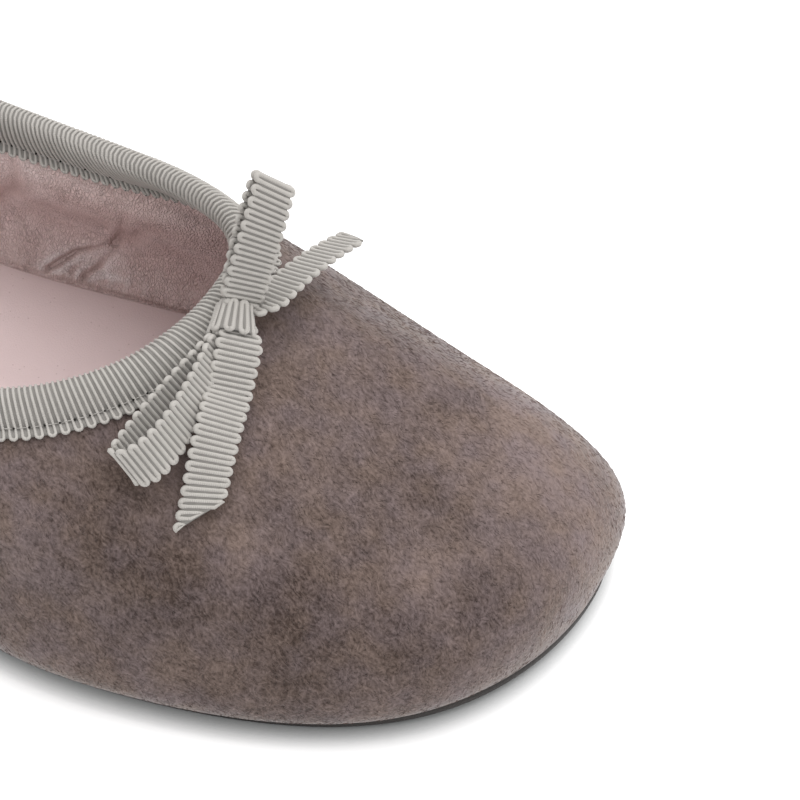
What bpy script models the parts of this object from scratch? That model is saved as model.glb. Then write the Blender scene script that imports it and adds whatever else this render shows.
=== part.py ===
"""Ballerina slipper for the right foot, standing empty on its sole.

The toe points along +X, the inner side of the foot is +Y and up is +Z. The origin is on the floor under the
middle of the shoe. Shapes are worked out in millimetres, measured from the back of the heel, and turned into
metres when the meshes are made.
"""
import math
from collections import namedtuple

import bmesh
import bpy
import numpy as np
from mathutils import Matrix, Vector
from mathutils.bvhtree import BVHTree

MM = 0.001

# Driving dimensions, in millimetres
LENGTH = 243.0          # heel to toe
BALL_WIDTH = 84.0       # across the ball
THROAT_HEIGHT = 46.0    # collar edge at the throat, above the floor
WALL = 1.8              # suede and lining together
OUTSOLE = 2.2           # leather sole
INSOLE = 2.4            # padded sock
PLAY = 0.32             # gap between pieces that meet

ARCH_RISE = 1.9         # waist of the sole above the floor
ARCH_START = 42.0
ARCH_END = 138.0
TOE_SPRING = 3.0        # toe tip of the sole above the floor
SPRING_START = 174.0

SOLE_PROUD = 0.1        # outsole edge outside the feather line
SOLE_BEVEL = 0.5
INSOLE_BEVEL = 0.7
BEVEL_SHARE = 0.2       # most of a narrow section's width that its bevel takes

BINDING_LEG = 7.4       # ribbon down each side of the collar edge
BINDING_CROWN = 1.3     # ribbon above the collar edge
CROWN_SPREAD = 0.75     # sideways swell of the fold, as a share of its crown
CROWN_SHOULDER = 0.6    # height of that swell, as a share of the crown

RIBBON_WIDTH = 7.3
RIBBON = 0.8            # thickness of the bow's ribbon
RIBBON_REST = 0.6       # share of that thickness from the ribbon's middle to what it lies on
KNOT_LENGTH = 7.2       # across the foot, the width of its ribbon
KNOT_INNER = 5.4        # along the foot, at its inner end
KNOT_OUTER = 7.6        # along the foot, at its outer end
KNOT_HEIGHT = 4.2
KNOT_ROUND = 1.1
KNOT_DROP = 5.2         # from the collar edge down the vamp

# How finely the faceted solids are cut
STATIONS = 90           # round the shoe
STEPS = 13              # up the wall
SOLE_STATIONS = 42      # along a sole
LOOP_STATIONS = 26
TAIL_STATIONS = 14
KNOT_SEGMENTS = 3       # round each edge of the knot
CIRCLE_PROFILE = 0.5    # a bevel of round section
SHARP_ANGLE = 40.0      # degrees, past which an edge is shaded sharp

# One row for each radial section of the last: from the heel along the outer side, round the toe and back.
# along, top_along: per cent of LENGTH.
# across, top_across: per cent of BALL_WIDTH, negative on the outer side.
# wall_up, cheek_up, vamp_up, top_up: per cent of THROAT_HEIGHT above the floor.
# bulge: millimetres outside the feather line. cheek_in, vamp_in: millimetres inside it.
Section = namedtuple("Section", "along across bulge wall_up cheek_in cheek_up vamp_in vamp_up "
                                "top_along top_across top_up")
SECTIONS = (
    Section(1.2, 0.0, 3.5, 43.5, -3.0, 78.0, -0.5, 100.0, 2.9, 0.0, 119.5),      # heel back
    Section(4.5, -23.0, 3.5, 41.5, -2.5, 76.0, 1.5, 95.5, 5.3, -19.0, 113.0),    # heel corner, outer
    Section(15.6, -33.5, 3.5, 35.0, -1.5, 63.0, 1.0, 82.5, 16.5, -30.5, 100.0),  # heel side, outer
    Section(39.1, -35.2, 4.1, 30.5, -1.9, 54.5, 0.5, 71.5, 39.2, -31.7, 86.5),   # waist, outer
    Section(57.7, -45.1, 4.1, 25.7, 0.1, 52.5, 4.4, 74.0, 53.7, -32.5, 88.3),    # behind the ball, outer
    Section(69.3, -49.4, 4.1, 23.3, 2.1, 50.5, 8.9, 74.0, 62.9, -27.0, 92.0),    # ball, outer
    Section(84.3, -40.3, 3.2, 21.5, 5.3, 50.2, 20.0, 72.0, 68.2, -15.5, 96.2),   # toe side, outer
    Section(95.05, -20.5, 1.2, 25.0, 7.1, 49.6, 30.3, 72.0, 70.2, -6.8, 99.2),   # toe corner, outer
    Section(99.55, 7.6, -0.6, 27.7, 9.2, 51.3, 37.0, 73.5, 71.1, 1.8, 99.5),     # toe tip
    Section(97.05, 31.3, 2.4, 25.3, 8.5, 48.8, 31.1, 72.0, 71.5, 11.2, 100.6),   # toe corner, inner
    Section(86.8, 41.2, 3.4, 22.4, 6.7, 47.5, 21.3, 70.0, 70.8, 20.7, 101.8),    # toe side, inner
    Section(72.8, 41.7, 4.0, 24.1, 2.9, 50.3, 11.1, 74.2, 64.4, 29.4, 100.6),    # ball, inner
    Section(43.1, 28.1, 4.5, 32.6, -1.4, 58.3, 0.5, 76.3, 44.0, 31.1, 95.4),     # waist, inner
    Section(16.5, 32.0, 3.5, 35.0, -1.5, 65.0, 1.0, 85.0, 17.3, 29.0, 102.0),    # heel side, inner
    Section(4.5, 23.0, 3.5, 41.5, -2.5, 76.0, 1.5, 95.5, 5.3, 19.0, 113.0),      # heel corner, inner
)
BOW_SECTION = 8.2       # where the bow sits, counted in rows of SECTIONS
BOW_TURN = 22.0         # degrees that the bow is turned on its seat
SPOKE_REACH = 20.0      # a section wider than this points straight at the collar edge

# The folded ribbon of the collar, millimetres down from the edge and out from the wall
Fold = namedtuple("Fold", "drop lift")
FOLDS = (
    Fold(BINDING_LEG, 0.6),
    Fold(5.4, 0.6),
    Fold(3.6, 1.35),
    Fold(1.2, 1.55),
)

# The bow, in millimetres forward, inward and upward from the knot's seat on the collar ribbon.
# belly is half the room inside a loop, droop is how far its tip sinks, skew is how far its return lies
# towards the heel, and pinch is the share of the ribbon's width that is left where the knot gathers it.
Loop = namedtuple("Loop", "name root tip width_axis belly droop skew pinch")
LOOPS = (
    Loop("bow_loop_medial", (-0.7, 5.2, 2.5), (-0.9, 15.8, 18.0), (1.0, 0.2, -0.3),
         1.8, 0.0, -1.0, 0.85),
    Loop("bow_loop_lateral", (-4.9, -5.0, 2.7), (-10.6, -26.0, 1.2), (0.95, -0.33, -0.05),
         2.6, 4.5, -3.0, 0.5),
)
LOOP_OPEN = 0.6         # radians of the loop's turn that the knot takes up
# cut is how much shorter the front edge is. The lean tips the front edge up, in degrees at root and tip.
Tail = namedtuple("Tail", "name root tip root_lean tip_lean cut")
TAILS = (
    Tail("bow_tail_medial", (5.3, 3.0, 2.6), (18.4, 19.4, 1.8), 48.0, 68.0, 4.0),
    Tail("bow_tail_lateral", (0.5, -4.6, 0.5), (-0.6, -33.8, -9.0), 0.0, -6.0, 5.0),
)

# Material name: base colour, roughness
FINISHES = {
    "taupe suede": ((0.165, 0.124, 0.112, 1.0), 0.95),
    "grosgrain ribbon": ((0.42, 0.40, 0.375, 1.0), 0.75),
    "pink sock leather": ((0.47, 0.37, 0.365, 1.0), 0.55),
    "dark sole leather": ((0.018, 0.015, 0.014, 1.0), 0.7),
}


def clear_scene():
    for old in list(bpy.data.objects):
        bpy.data.objects.remove(old, do_unlink=True)


def finish(name):
    colour, roughness = FINISHES[name]
    material = bpy.data.materials.new(name)
    material.use_nodes = True
    shader = material.node_tree.nodes["Principled BSDF"]
    shader.inputs["Base Color"].default_value = colour
    shader.inputs["Roughness"].default_value = roughness
    shader.inputs["Metallic"].default_value = 0.0
    return material


def unit(vectors):
    return vectors / np.linalg.norm(vectors, axis=-1, keepdims=True)


def sole_rise(along):
    """Height of the sole's tread above the floor at a distance from the heel."""
    turn = np.clip((along - ARCH_START) / (ARCH_END - ARCH_START), 0.0, 1.0)
    arch = ARCH_RISE * np.sin(math.pi * turn) ** 2
    spring = np.clip((along - SPRING_START) / (LENGTH - SPRING_START), 0.0, 1.0)
    return arch + TOE_SPRING * spring ** 3


def closed_spline(rows, places):
    """Smooth closed curve through the rows, read at places counted in rows."""
    count = len(rows)
    solve = 4.0 * np.eye(count) + np.roll(np.eye(count), 1, 1) + np.roll(np.eye(count), -1, 1)
    slopes = np.linalg.solve(solve, 3.0 * (np.roll(rows, -1, 0) - np.roll(rows, 1, 0)))
    here = np.floor(places).astype(int) % count
    there = (here + 1) % count
    t = (places - np.floor(places))[:, None]
    return ((2 * t ** 3 - 3 * t ** 2 + 1) * rows[here] + (t ** 3 - 2 * t ** 2 + t) * slopes[here]
            + (3 * t ** 2 - 2 * t ** 3) * rows[there] + (t ** 3 - t ** 2) * slopes[there])


def open_spline(points, places):
    """Natural curve through points (row, point, axis), read at places counted in points."""
    count = points.shape[1]
    solve = 4.0 * np.eye(count) + np.eye(count, k=1) + np.eye(count, k=-1)
    solve[0, 0] = solve[-1, -1] = 2.0
    chords = np.zeros_like(points)
    chords[:, 1:-1] = 3.0 * (points[:, 2:] - points[:, :-2])
    chords[:, 0] = 3.0 * (points[:, 1] - points[:, 0])
    chords[:, -1] = 3.0 * (points[:, -1] - points[:, -2])
    slopes = np.einsum("ij,sjk->sik", np.linalg.inv(solve), chords)
    here = np.minimum(places.astype(int), count - 2)
    t = (places - here)[None, :, None]
    return ((2 * t ** 3 - 3 * t ** 2 + 1) * points[:, here] + (t ** 3 - 2 * t ** 2 + t) * slopes[:, here]
            + (3 * t ** 2 - 2 * t ** 3) * points[:, here + 1] + (t ** 3 - t ** 2) * slopes[:, here + 1])


def section_curves(places):
    """The table's columns as smooth curves round the shoe, in millimetres."""
    table = Section(*closed_spline(np.array(SECTIONS), places).T)
    scaled = {}
    for column in ("along", "top_along"):
        scaled[column] = getattr(table, column) * LENGTH / 100.0
    for column in ("across", "top_across"):
        scaled[column] = getattr(table, column) * BALL_WIDTH / 100.0
    for column in ("wall_up", "cheek_up", "vamp_up", "top_up"):
        scaled[column] = getattr(table, column) * THROAT_HEIGHT / 100.0
    return table._replace(**scaled)


def plan_inward(line):
    """Unit vectors in plan that point into a closed outline, which runs heel, outer side, toe, inner side."""
    run = np.roll(line, -1, 0) - np.roll(line, 1, 0)
    return unit(np.column_stack([-run[:, 1], run[:, 0]]))


def upper_skin(stations, steps):
    """Outer skin of the upper and its outward normals, as (station, step, axis)."""
    curves = section_curves(np.arange(stations) * len(SECTIONS) / stations)
    feather = np.column_stack([curves.along, curves.across])
    spoke = np.column_stack([curves.top_along, curves.top_across]) - feather
    reach = np.linalg.norm(spoke, axis=1, keepdims=True)
    share = np.clip(reach / SPOKE_REACH, 0.0, 1.0)
    inward = unit((1.0 - share) * plan_inward(feather) + share * spoke / reach)

    def point(inset, height):
        return np.column_stack([feather + inward * inset[:, None], height])

    seat = sole_rise(curves.along) + OUTSOLE + PLAY
    guides = np.stack([
        point(np.zeros(stations), seat),
        point(-curves.bulge, curves.wall_up),
        point(curves.cheek_in, curves.cheek_up),
        point(curves.vamp_in, curves.vamp_up),
        np.column_stack([curves.top_along, curves.top_across, curves.top_up]),
    ], axis=1)
    skin = open_spline(guides, np.linspace(0.0, guides.shape[1] - 1.0, steps))
    around = np.roll(skin, -1, 0) - np.roll(skin, 1, 0)
    upward = np.gradient(skin, axis=1)
    return skin, unit(np.cross(around, upward))


def lining_skin(skin, normals):
    """Inner skin of the wall. Its lower edge is level with the outer one, on the sole."""
    lining = skin - WALL * normals
    flat = unit(normals[:, 0] * (1.0, 1.0, 0.0))
    lining[:, 0] = skin[:, 0] - WALL * flat
    return lining


def ring_faces(stations, points):
    """Faces of a closed tube that runs round the shoe."""
    faces = []
    for i in range(stations):
        after = (i + 1) % stations
        for k in range(points):
            above = (k + 1) % points
            faces.append((i * points + k, after * points + k, after * points + above, i * points + above))
    return faces


def strip_faces(stations, points):
    """Faces of a tube with two closed ends."""
    faces = ring_faces(stations, points)[:(stations - 1) * points]
    faces.append(tuple(range(points)))
    faces.append(tuple((stations - 1) * points + k for k in reversed(range(points))))
    return faces


def upper_sections(skin, normals):
    lining = lining_skin(skin, normals)
    return np.concatenate([skin, lining[:, ::-1]], axis=1)


def down_the_wall(skin, normals, drop):
    """Point and outward normal on each section at a distance below the collar edge."""
    places = np.zeros((len(skin), 3))
    faces = np.zeros((len(skin), 3))
    for i, (line, out) in enumerate(zip(skin[:, ::-1], normals[:, ::-1])):
        run = np.concatenate([[0.0], np.cumsum(np.linalg.norm(np.diff(line, axis=0), axis=1))])
        for axis in range(3):
            places[i, axis] = np.interp(drop, run, line[:, axis])
            faces[i, axis] = np.interp(drop, run, out[:, axis])
    return places, unit(faces)


def binding_sections(skin, normals):
    """The ribbon folded over the collar edge: outer face, crown, inner face, then back along the wall."""
    lining = skin - WALL * normals
    rim = 0.5 * (skin[:, -1] + lining[:, -1])
    rise = unit(skin[:, -1] - skin[:, -2])
    out = normals[:, -1]
    half = WALL / 2.0 + PLAY

    def leg(side, drop, lift):
        source = skin if side > 0 else lining
        place, face = down_the_wall(source, normals, drop)
        return place + side * (PLAY + lift) * face

    def over(spread, height):
        return rim + spread * out + (PLAY + height) * rise

    swell = half + CROWN_SPREAD * BINDING_CROWN
    shoulder = CROWN_SHOULDER * BINDING_CROWN
    outer = [leg(1, fold.drop, fold.lift) for fold in FOLDS]
    crown = [over(swell, shoulder), over(0.0, BINDING_CROWN), over(-swell, shoulder)]
    inner = [leg(-1, fold.drop, fold.lift) for fold in reversed(FOLDS)]
    under = [leg(-1, BINDING_LEG, 0.0), leg(-1, BINDING_LEG / 2.0, 0.0), over(-half, 0.0),
             over(half, 0.0), leg(1, BINDING_LEG / 2.0, 0.0), leg(1, BINDING_LEG, 0.0)]
    return np.stack(outer + crown + inner + under, axis=1)


def feather_outline(skin, inset):
    """Outline in plan, inset from the feather line."""
    feather = skin[:, 0, :2]
    return feather + inset * plan_inward(feather)


def lining_outline(lining, height, inset):
    """Outline in plan, inset from the lining at a height above its lower edge."""
    outline = np.zeros((len(lining), 2))
    for i, line in enumerate(lining[:, :STEPS // 2]):
        for axis in range(2):
            outline[i, axis] = np.interp(line[0, 2] + height, line[:, 2], line[:, axis])
    return outline + inset * plan_inward(outline)


def plan_strips(outline):
    """Distance from the heel, outer edge and inner edge of an outline at each station of a sole."""
    toe = np.argmax(outline[:, 0])
    heel = np.argmin(outline[:, 0])
    outer_side = np.roll(outline, -heel, 0)[:(toe - heel) % len(outline) + 1]
    inner_side = np.roll(outline, -toe, 0)[:(heel - toe) % len(outline) + 1][::-1]
    turn = math.pi * (np.arange(SOLE_STATIONS) + 0.5) / SOLE_STATIONS
    start, end = outline[heel, 0], outline[toe, 0]
    along = start + (end - start) * (1.0 - np.cos(turn)) / 2.0
    outer = np.interp(along, outer_side[:, 0], outer_side[:, 1])
    inner = np.interp(along, inner_side[:, 0], inner_side[:, 1])
    return np.column_stack([along, outer, inner])


def plate_sections(lower, upper, bevel, low, thick):
    """Cross sections of a sole, heel to toe, between its lower and upper outlines and following the tread."""
    sections = []
    for under, over in zip(plan_strips(lower), plan_strips(upper)):
        rows = []
        for (along, outer, inner), level, inwards in ((under, low, 1.0), (over, low + thick, -1.0)):
            face = sole_rise(along) + level
            edge = min(bevel, BEVEL_SHARE * (inner - outer))
            outer_third = (2.0 * outer + inner) / 3.0
            inner_third = (outer + 2.0 * inner) / 3.0
            side = face + inwards * edge
            half = [(along, outer, side), (along, outer + edge, face), (along, outer_third, face),
                    (along, inner_third, face), (along, inner - edge, face), (along, inner, side)]
            rows.extend(half if inwards > 0.0 else half[::-1])
        sections.append(rows)
    return np.array(sections)


class BowSeat:
    """The knot's place on the collar ribbon: forward down the vamp, inward across the foot, upward off it."""

    def __init__(self, skin, normals):
        place, face = down_the_wall(skin, normals, KNOT_DROP)
        lift = PLAY + max(fold.lift for fold in FOLDS) + PLAY
        station = BOW_SECTION * len(skin) / len(SECTIONS)
        near = int(station) % len(skin)
        after = (near + 1) % len(skin)
        share = station - int(station)
        self.up = unit((1 - share) * face[near] + share * face[after])
        self.origin = (1 - share) * place[near] + share * place[after] + lift * self.up
        turn = math.radians(BOW_TURN)
        self.inward = unit(np.cross(self.up, (math.cos(turn), math.sin(turn), 0.0)))
        self.forward = np.cross(self.inward, self.up)

    def direction(self, local):
        forward, inward, upward = local
        return forward * self.forward + inward * self.inward + upward * self.up

    def point(self, local):
        return self.origin + self.direction(local)


def ribbon_sections(rear, front):
    """A flat ribbon between its two edges, thickened to both sides."""
    run = np.gradient(0.5 * (rear + front), axis=0)
    half = 0.5 * RIBBON * unit(np.cross(run, front - rear))
    return np.stack([rear - half, front - half, front + half, rear + half], axis=1)


def loop_sections(loop, seat):
    """A loop leaves the knot, swells, turns at its tip and comes back beside itself."""
    root = seat.point(loop.root)
    reach = seat.point(loop.tip) - root
    across = seat.direction(loop.width_axis)
    across = unit(across - reach * np.dot(across, reach) / np.dot(reach, reach))
    swell = unit(np.cross(reach, across))
    if swell[2] < 0.0:
        swell = -swell
    turn = np.linspace(LOOP_OPEN, 2.0 * math.pi - LOOP_OPEN, LOOP_STATIONS)
    out = np.sin(turn / 2.0) ** 2
    out = (out - out[0]) / (1.0 - out[0])
    rise = np.sin(turn) * np.sin(turn / 2.0)
    rise = loop.belly * rise / rise.max()
    back = loop.skew * np.sin((turn - math.pi / 2.0) / 2.0).clip(0.0, 1.0) * np.sin(turn / 2.0)
    middle = root + out[:, None] * reach + rise[:, None] * swell + back[:, None] * across
    middle = middle - loop.droop * out[:, None] ** 2 * seat.up
    gather = loop.pinch + (1.0 - loop.pinch) * np.sin(0.5 * math.pi * out)
    half = 0.5 * RIBBON_WIDTH * gather[:, None] * across
    return ribbon_sections(middle - half, middle + half)


def tail_sections(tail, seat, ground):
    """A free end runs straight from the knot, and lies on the vamp where it would pass into it."""
    root = seat.point(tail.root)
    tip = seat.point(tail.tip)
    reach = tip - root
    flat = unit(seat.forward - reach * np.dot(seat.forward, reach) / np.dot(reach, reach))
    raised = np.cross(reach, flat) / np.linalg.norm(reach)
    if raised[2] < 0.0:
        raised = -raised
    share = np.linspace(0.0, 1.0, TAIL_STATIONS)[:, None]
    lean = np.radians(tail.root_lean + (tail.tip_lean - tail.root_lean) * share)
    half = 0.5 * RIBBON_WIDTH * (np.cos(lean) * flat + np.sin(lean) * raised)
    short = tail.cut / np.linalg.norm(reach) * share ** 3
    rear = root + share * reach - half
    front = root + share * (1.0 - short) * reach + half
    rest = PLAY + RIBBON_REST * RIBBON
    for edge in (rear, front):
        floor = np.array([ground(x, y) for x, y, z in edge])
        padded = np.pad(floor, 1, mode="edge")
        highest = np.maximum(np.maximum(padded[:-2], padded[1:-1]), padded[2:])
        edge[:, 2] = np.maximum(edge[:, 2], highest + rest)
    return ribbon_sections(rear, front)


def ground_under(*tubes):
    """Height of the highest face below any point in plan, over the given closed tubes."""
    trees = []
    for sections in tubes:
        corners = [Vector(corner) for corner in sections.reshape(-1, 3)]
        trees.append(BVHTree.FromPolygons(corners, ring_faces(*sections.shape[:2])))
    above = 2.0 * THROAT_HEIGHT

    def height(x, y):
        hits = [tree.ray_cast(Vector((x, y, above)), Vector((0.0, 0.0, -1.0)))[0] for tree in trees]
        return max((hit.z for hit in hits if hit), default=0.0)

    return height


def knot_body(seat):
    """The knot's band: a block that narrows towards the inner side, rounded by a bevel."""
    body = bmesh.new()
    bmesh.ops.create_cube(body, size=1.0)
    for corner in body.verts:
        side = corner.co.y + 0.5
        wide = KNOT_OUTER + (KNOT_INNER - KNOT_OUTER) * side
        corner.co = Vector((corner.co.x * wide, corner.co.y * KNOT_LENGTH, (corner.co.z + 0.5) * KNOT_HEIGHT))
    bmesh.ops.bevel(body, geom=list(body.edges), offset=KNOT_ROUND, segments=KNOT_SEGMENTS,
                    profile=CIRCLE_PROFILE, affect="EDGES")
    turn = Matrix((seat.forward, seat.inward, seat.up)).transposed().to_4x4()
    bmesh.ops.transform(body, matrix=Matrix.Translation(seat.origin) @ turn, verts=list(body.verts))
    corners = np.array([corner.co for corner in body.verts])
    body.verts.index_update()
    faces = [tuple(corner.index for corner in face.verts) for face in body.faces]
    body.free()
    return corners, faces


def add_piece(name, material, corners, faces, origin):
    mesh = bpy.data.meshes.new(name)
    mesh.from_pydata(((corners - origin) * MM).tolist(), [], faces)
    body = bmesh.new()
    body.from_mesh(mesh)
    bmesh.ops.recalc_face_normals(body, faces=list(body.faces))
    bmesh.ops.triangulate(body, faces=list(body.faces), quad_method="SHORT_EDGE")
    body.to_mesh(mesh)
    body.free()
    mesh.shade_smooth()
    mesh.set_sharp_from_angle(angle=math.radians(SHARP_ANGLE))
    mesh.materials.append(material)
    piece = bpy.data.objects.new(name, mesh)
    bpy.context.scene.collection.objects.link(piece)
    return piece


def tube(sections, faces):
    return sections.reshape(-1, 3), faces(*sections.shape[:2])


def main():
    clear_scene()
    suede = finish("taupe suede")
    ribbon = finish("grosgrain ribbon")
    sock = finish("pink sock leather")
    leather = finish("dark sole leather")

    skin, normals = upper_skin(STATIONS, STEPS)
    upper = upper_sections(skin, normals)
    binding = binding_sections(skin, normals)
    tread = feather_outline(skin, -SOLE_PROUD)
    outsole = plate_sections(tread, tread, SOLE_BEVEL, 0.0, OUTSOLE)
    sock_foot = feather_outline(skin, WALL + 2.0 * PLAY)
    sock_edge = lining_outline(lining_skin(skin, normals), INSOLE, 1.5 * PLAY)
    insole = plate_sections(sock_foot, sock_edge, INSOLE_BEVEL, OUTSOLE + PLAY, INSOLE)
    seat = BowSeat(skin, normals)
    ground = ground_under(upper, binding)

    pieces = [
        ("outsole", leather, *tube(outsole, strip_faces)),
        ("insole", sock, *tube(insole, strip_faces)),
        ("upper", suede, *tube(upper, ring_faces)),
        ("topline_binding", ribbon, *tube(binding, ring_faces)),
        ("bow_knot", ribbon, *knot_body(seat)),
    ]
    for loop in LOOPS:
        pieces.append((loop.name, ribbon, *tube(loop_sections(loop, seat), strip_faces)))
    for tail in TAILS:
        pieces.append((tail.name, ribbon, *tube(tail_sections(tail, seat, ground), strip_faces)))

    cloud = np.concatenate([corners for name, material, corners, faces in pieces])
    low, high = cloud.min(axis=0), cloud.max(axis=0)
    origin = np.array([0.5 * (low[0] + high[0]), 0.5 * (low[1] + high[1]), low[2]])
    for name, material, corners, faces in pieces:
        add_piece(name, material, corners, faces, origin)


main()
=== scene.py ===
import math
import bpy
import numpy as np
from mathutils import Matrix, Vector
from mathutils.bvhtree import BVHTree


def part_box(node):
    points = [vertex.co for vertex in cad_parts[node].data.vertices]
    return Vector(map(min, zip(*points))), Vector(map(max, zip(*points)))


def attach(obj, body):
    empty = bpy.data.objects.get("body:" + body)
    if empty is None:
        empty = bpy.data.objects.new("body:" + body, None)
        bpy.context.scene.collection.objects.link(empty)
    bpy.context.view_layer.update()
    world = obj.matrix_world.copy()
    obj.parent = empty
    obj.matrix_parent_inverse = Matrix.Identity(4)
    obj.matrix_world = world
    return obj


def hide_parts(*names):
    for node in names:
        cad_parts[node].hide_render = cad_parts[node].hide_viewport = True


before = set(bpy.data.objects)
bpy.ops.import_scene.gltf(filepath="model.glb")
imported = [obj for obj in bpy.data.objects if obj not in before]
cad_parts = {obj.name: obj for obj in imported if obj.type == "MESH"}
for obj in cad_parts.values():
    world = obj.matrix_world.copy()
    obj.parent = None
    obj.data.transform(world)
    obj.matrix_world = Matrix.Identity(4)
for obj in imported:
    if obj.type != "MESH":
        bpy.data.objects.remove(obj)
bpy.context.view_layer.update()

mm = 0.001
sharpEdge = math.radians(50.0)
rng = np.random.default_rng(687)

# The last. Shapes are in mm from the back of the heel: along the foot, across it (outer side negative), up.
last = {
    "length": 243.0,
    "ballWidth": 84.0,
    "throatHeight": 46.0,
    "wall": 1.8,
    "outsole": 2.2,
    "insole": 2.4,
    "play": 0.32,
    "archRise": 1.9,
    "archStart": 42.0,
    "archEnd": 138.0,
    "toeSpring": 3.0,
    "springStart": 174.0,
    "spokeReach": 20.0,      # a section wider than this points straight at the collar
    "cadStations": 90,       # how closely the solids follow the skin
    "cadSteps": 13,
}

# One row per section, heel, outer side, toe, inner side.
# along %, across %, bulge mm, wallUp %, cheekIn mm, cheekUp %, vampIn mm, vampUp %,
# topAlong %, topAcross %, topUp %
sections = np.array([
    (1.2, 0.0, 3.5, 43.5, -3.0, 78.0, -0.5, 100.0, 2.9, 0.0, 119.5),      # heel back
    (4.5, -23.0, 3.5, 41.5, -2.5, 76.0, 1.5, 95.5, 5.3, -19.0, 113.0),    # heel corner, outer
    (15.6, -33.5, 3.5, 35.0, -1.5, 63.0, 1.0, 82.5, 16.5, -30.5, 100.0),  # heel side, outer
    (39.1, -35.2, 4.1, 30.5, -1.9, 54.5, 0.5, 71.5, 39.2, -31.7, 86.5),   # waist, outer
    (57.7, -45.1, 4.1, 25.7, 0.1, 52.5, 4.4, 74.0, 53.7, -32.5, 88.3),    # behind the ball, outer
    (69.3, -49.4, 4.1, 23.3, 2.1, 50.5, 8.9, 74.0, 62.9, -27.0, 92.0),    # ball, outer
    (84.3, -40.3, 3.2, 21.5, 5.3, 50.2, 20.0, 72.0, 68.2, -15.5, 96.2),   # toe side, outer
    (95.05, -20.5, 1.2, 25.0, 7.1, 49.6, 30.3, 72.0, 70.2, -6.8, 99.2),   # toe corner, outer
    (99.55, 7.6, -0.6, 27.7, 9.2, 51.3, 37.0, 73.5, 71.1, 1.8, 99.5),     # toe tip
    (97.05, 31.3, 2.4, 25.3, 8.5, 48.8, 31.1, 72.0, 71.5, 11.2, 100.6),   # toe corner, inner
    (86.8, 41.2, 3.4, 22.4, 6.7, 47.5, 21.3, 70.0, 70.8, 20.7, 101.8),    # toe side, inner
    (72.8, 41.7, 4.0, 24.1, 2.9, 50.3, 11.1, 74.2, 64.4, 29.4, 100.6),    # ball, inner
    (43.1, 28.1, 4.5, 32.6, -1.4, 58.3, 0.5, 76.3, 44.0, 31.1, 95.4),     # waist, inner
    (16.5, 32.0, 3.5, 35.0, -1.5, 65.0, 1.0, 85.0, 17.3, 29.0, 102.0),    # heel side, inner
    (4.5, 23.0, 3.5, 41.5, -2.5, 76.0, 1.5, 95.5, 5.3, 19.0, 113.0),      # heel corner, inner
])
footLong, footWide, footHigh = last["length"], last["ballWidth"], last["throatHeight"]
sectionScale = np.array([footLong, footWide, 100, footHigh, 100, footHigh, 100, footHigh,
                         footLong, footWide, footHigh]) / 100.0    # the three in mm stay as they are


def unit(vectors):
    return vectors / np.linalg.norm(vectors, axis=-1, keepdims=True)


def ease(low, high, value):
    share = np.clip((value - low) / (high - low), 0.0, 1.0)
    return share * share * (3.0 - 2.0 * share)


def soleRise(along):
    turn = np.clip((along - last["archStart"]) / (last["archEnd"] - last["archStart"]), 0.0, 1.0)
    spring = np.clip((along - last["springStart"]) / (last["length"] - last["springStart"]), 0.0, 1.0)
    return last["archRise"] * np.sin(math.pi * turn) ** 2 + last["toeSpring"] * spring ** 3


def hermite(t, here, there, slopeHere, slopeThere):
    return ((2 * t ** 3 - 3 * t ** 2 + 1) * here + (t ** 3 - 2 * t ** 2 + t) * slopeHere
            + (3 * t ** 2 - 2 * t ** 3) * there + (t ** 3 - t ** 2) * slopeThere)


def closedSpline(rows, places):    # places are counted in rows
    count = len(rows)
    solve = 4.0 * np.eye(count) + np.roll(np.eye(count), 1, 1) + np.roll(np.eye(count), -1, 1)
    slopes = np.linalg.solve(solve, 3.0 * (np.roll(rows, -1, 0) - np.roll(rows, 1, 0)))
    here = np.floor(places).astype(int) % count
    there = (here + 1) % count
    t = (places - np.floor(places))[:, None]
    return hermite(t, rows[here], rows[there], slopes[here], slopes[there])


def openSpline(points, places):    # points are (row, point, axis), places are counted in points
    count = points.shape[1]
    solve = 4.0 * np.eye(count) + np.eye(count, k=1) + np.eye(count, k=-1)
    solve[0, 0] = solve[-1, -1] = 2.0
    chords = np.zeros_like(points)
    chords[:, 1:-1] = 3.0 * (points[:, 2:] - points[:, :-2])
    chords[:, 0] = 3.0 * (points[:, 1] - points[:, 0])
    chords[:, -1] = 3.0 * (points[:, -1] - points[:, -2])
    slopes = np.einsum("ij,sjk->sik", np.linalg.inv(solve), chords)
    here = np.minimum(places.astype(int), count - 2)
    t = (places - here)[None, :, None]
    return hermite(t, points[:, here], points[:, here + 1], slopes[:, here], slopes[:, here + 1])


def planInward(line):
    run = np.roll(line, -1, 0) - np.roll(line, 1, 0)
    return unit(np.column_stack([-run[:, 1], run[:, 0]]))


def stationPlaces(settings):    # more stations in the rows that show most
    places = []
    for row in range(len(sections)):
        count = settings["fineStations"] if row in settings["fineRows"] else settings["plainStations"]
        places.extend(row + np.arange(count) / count)
    return np.array(places)


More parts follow.
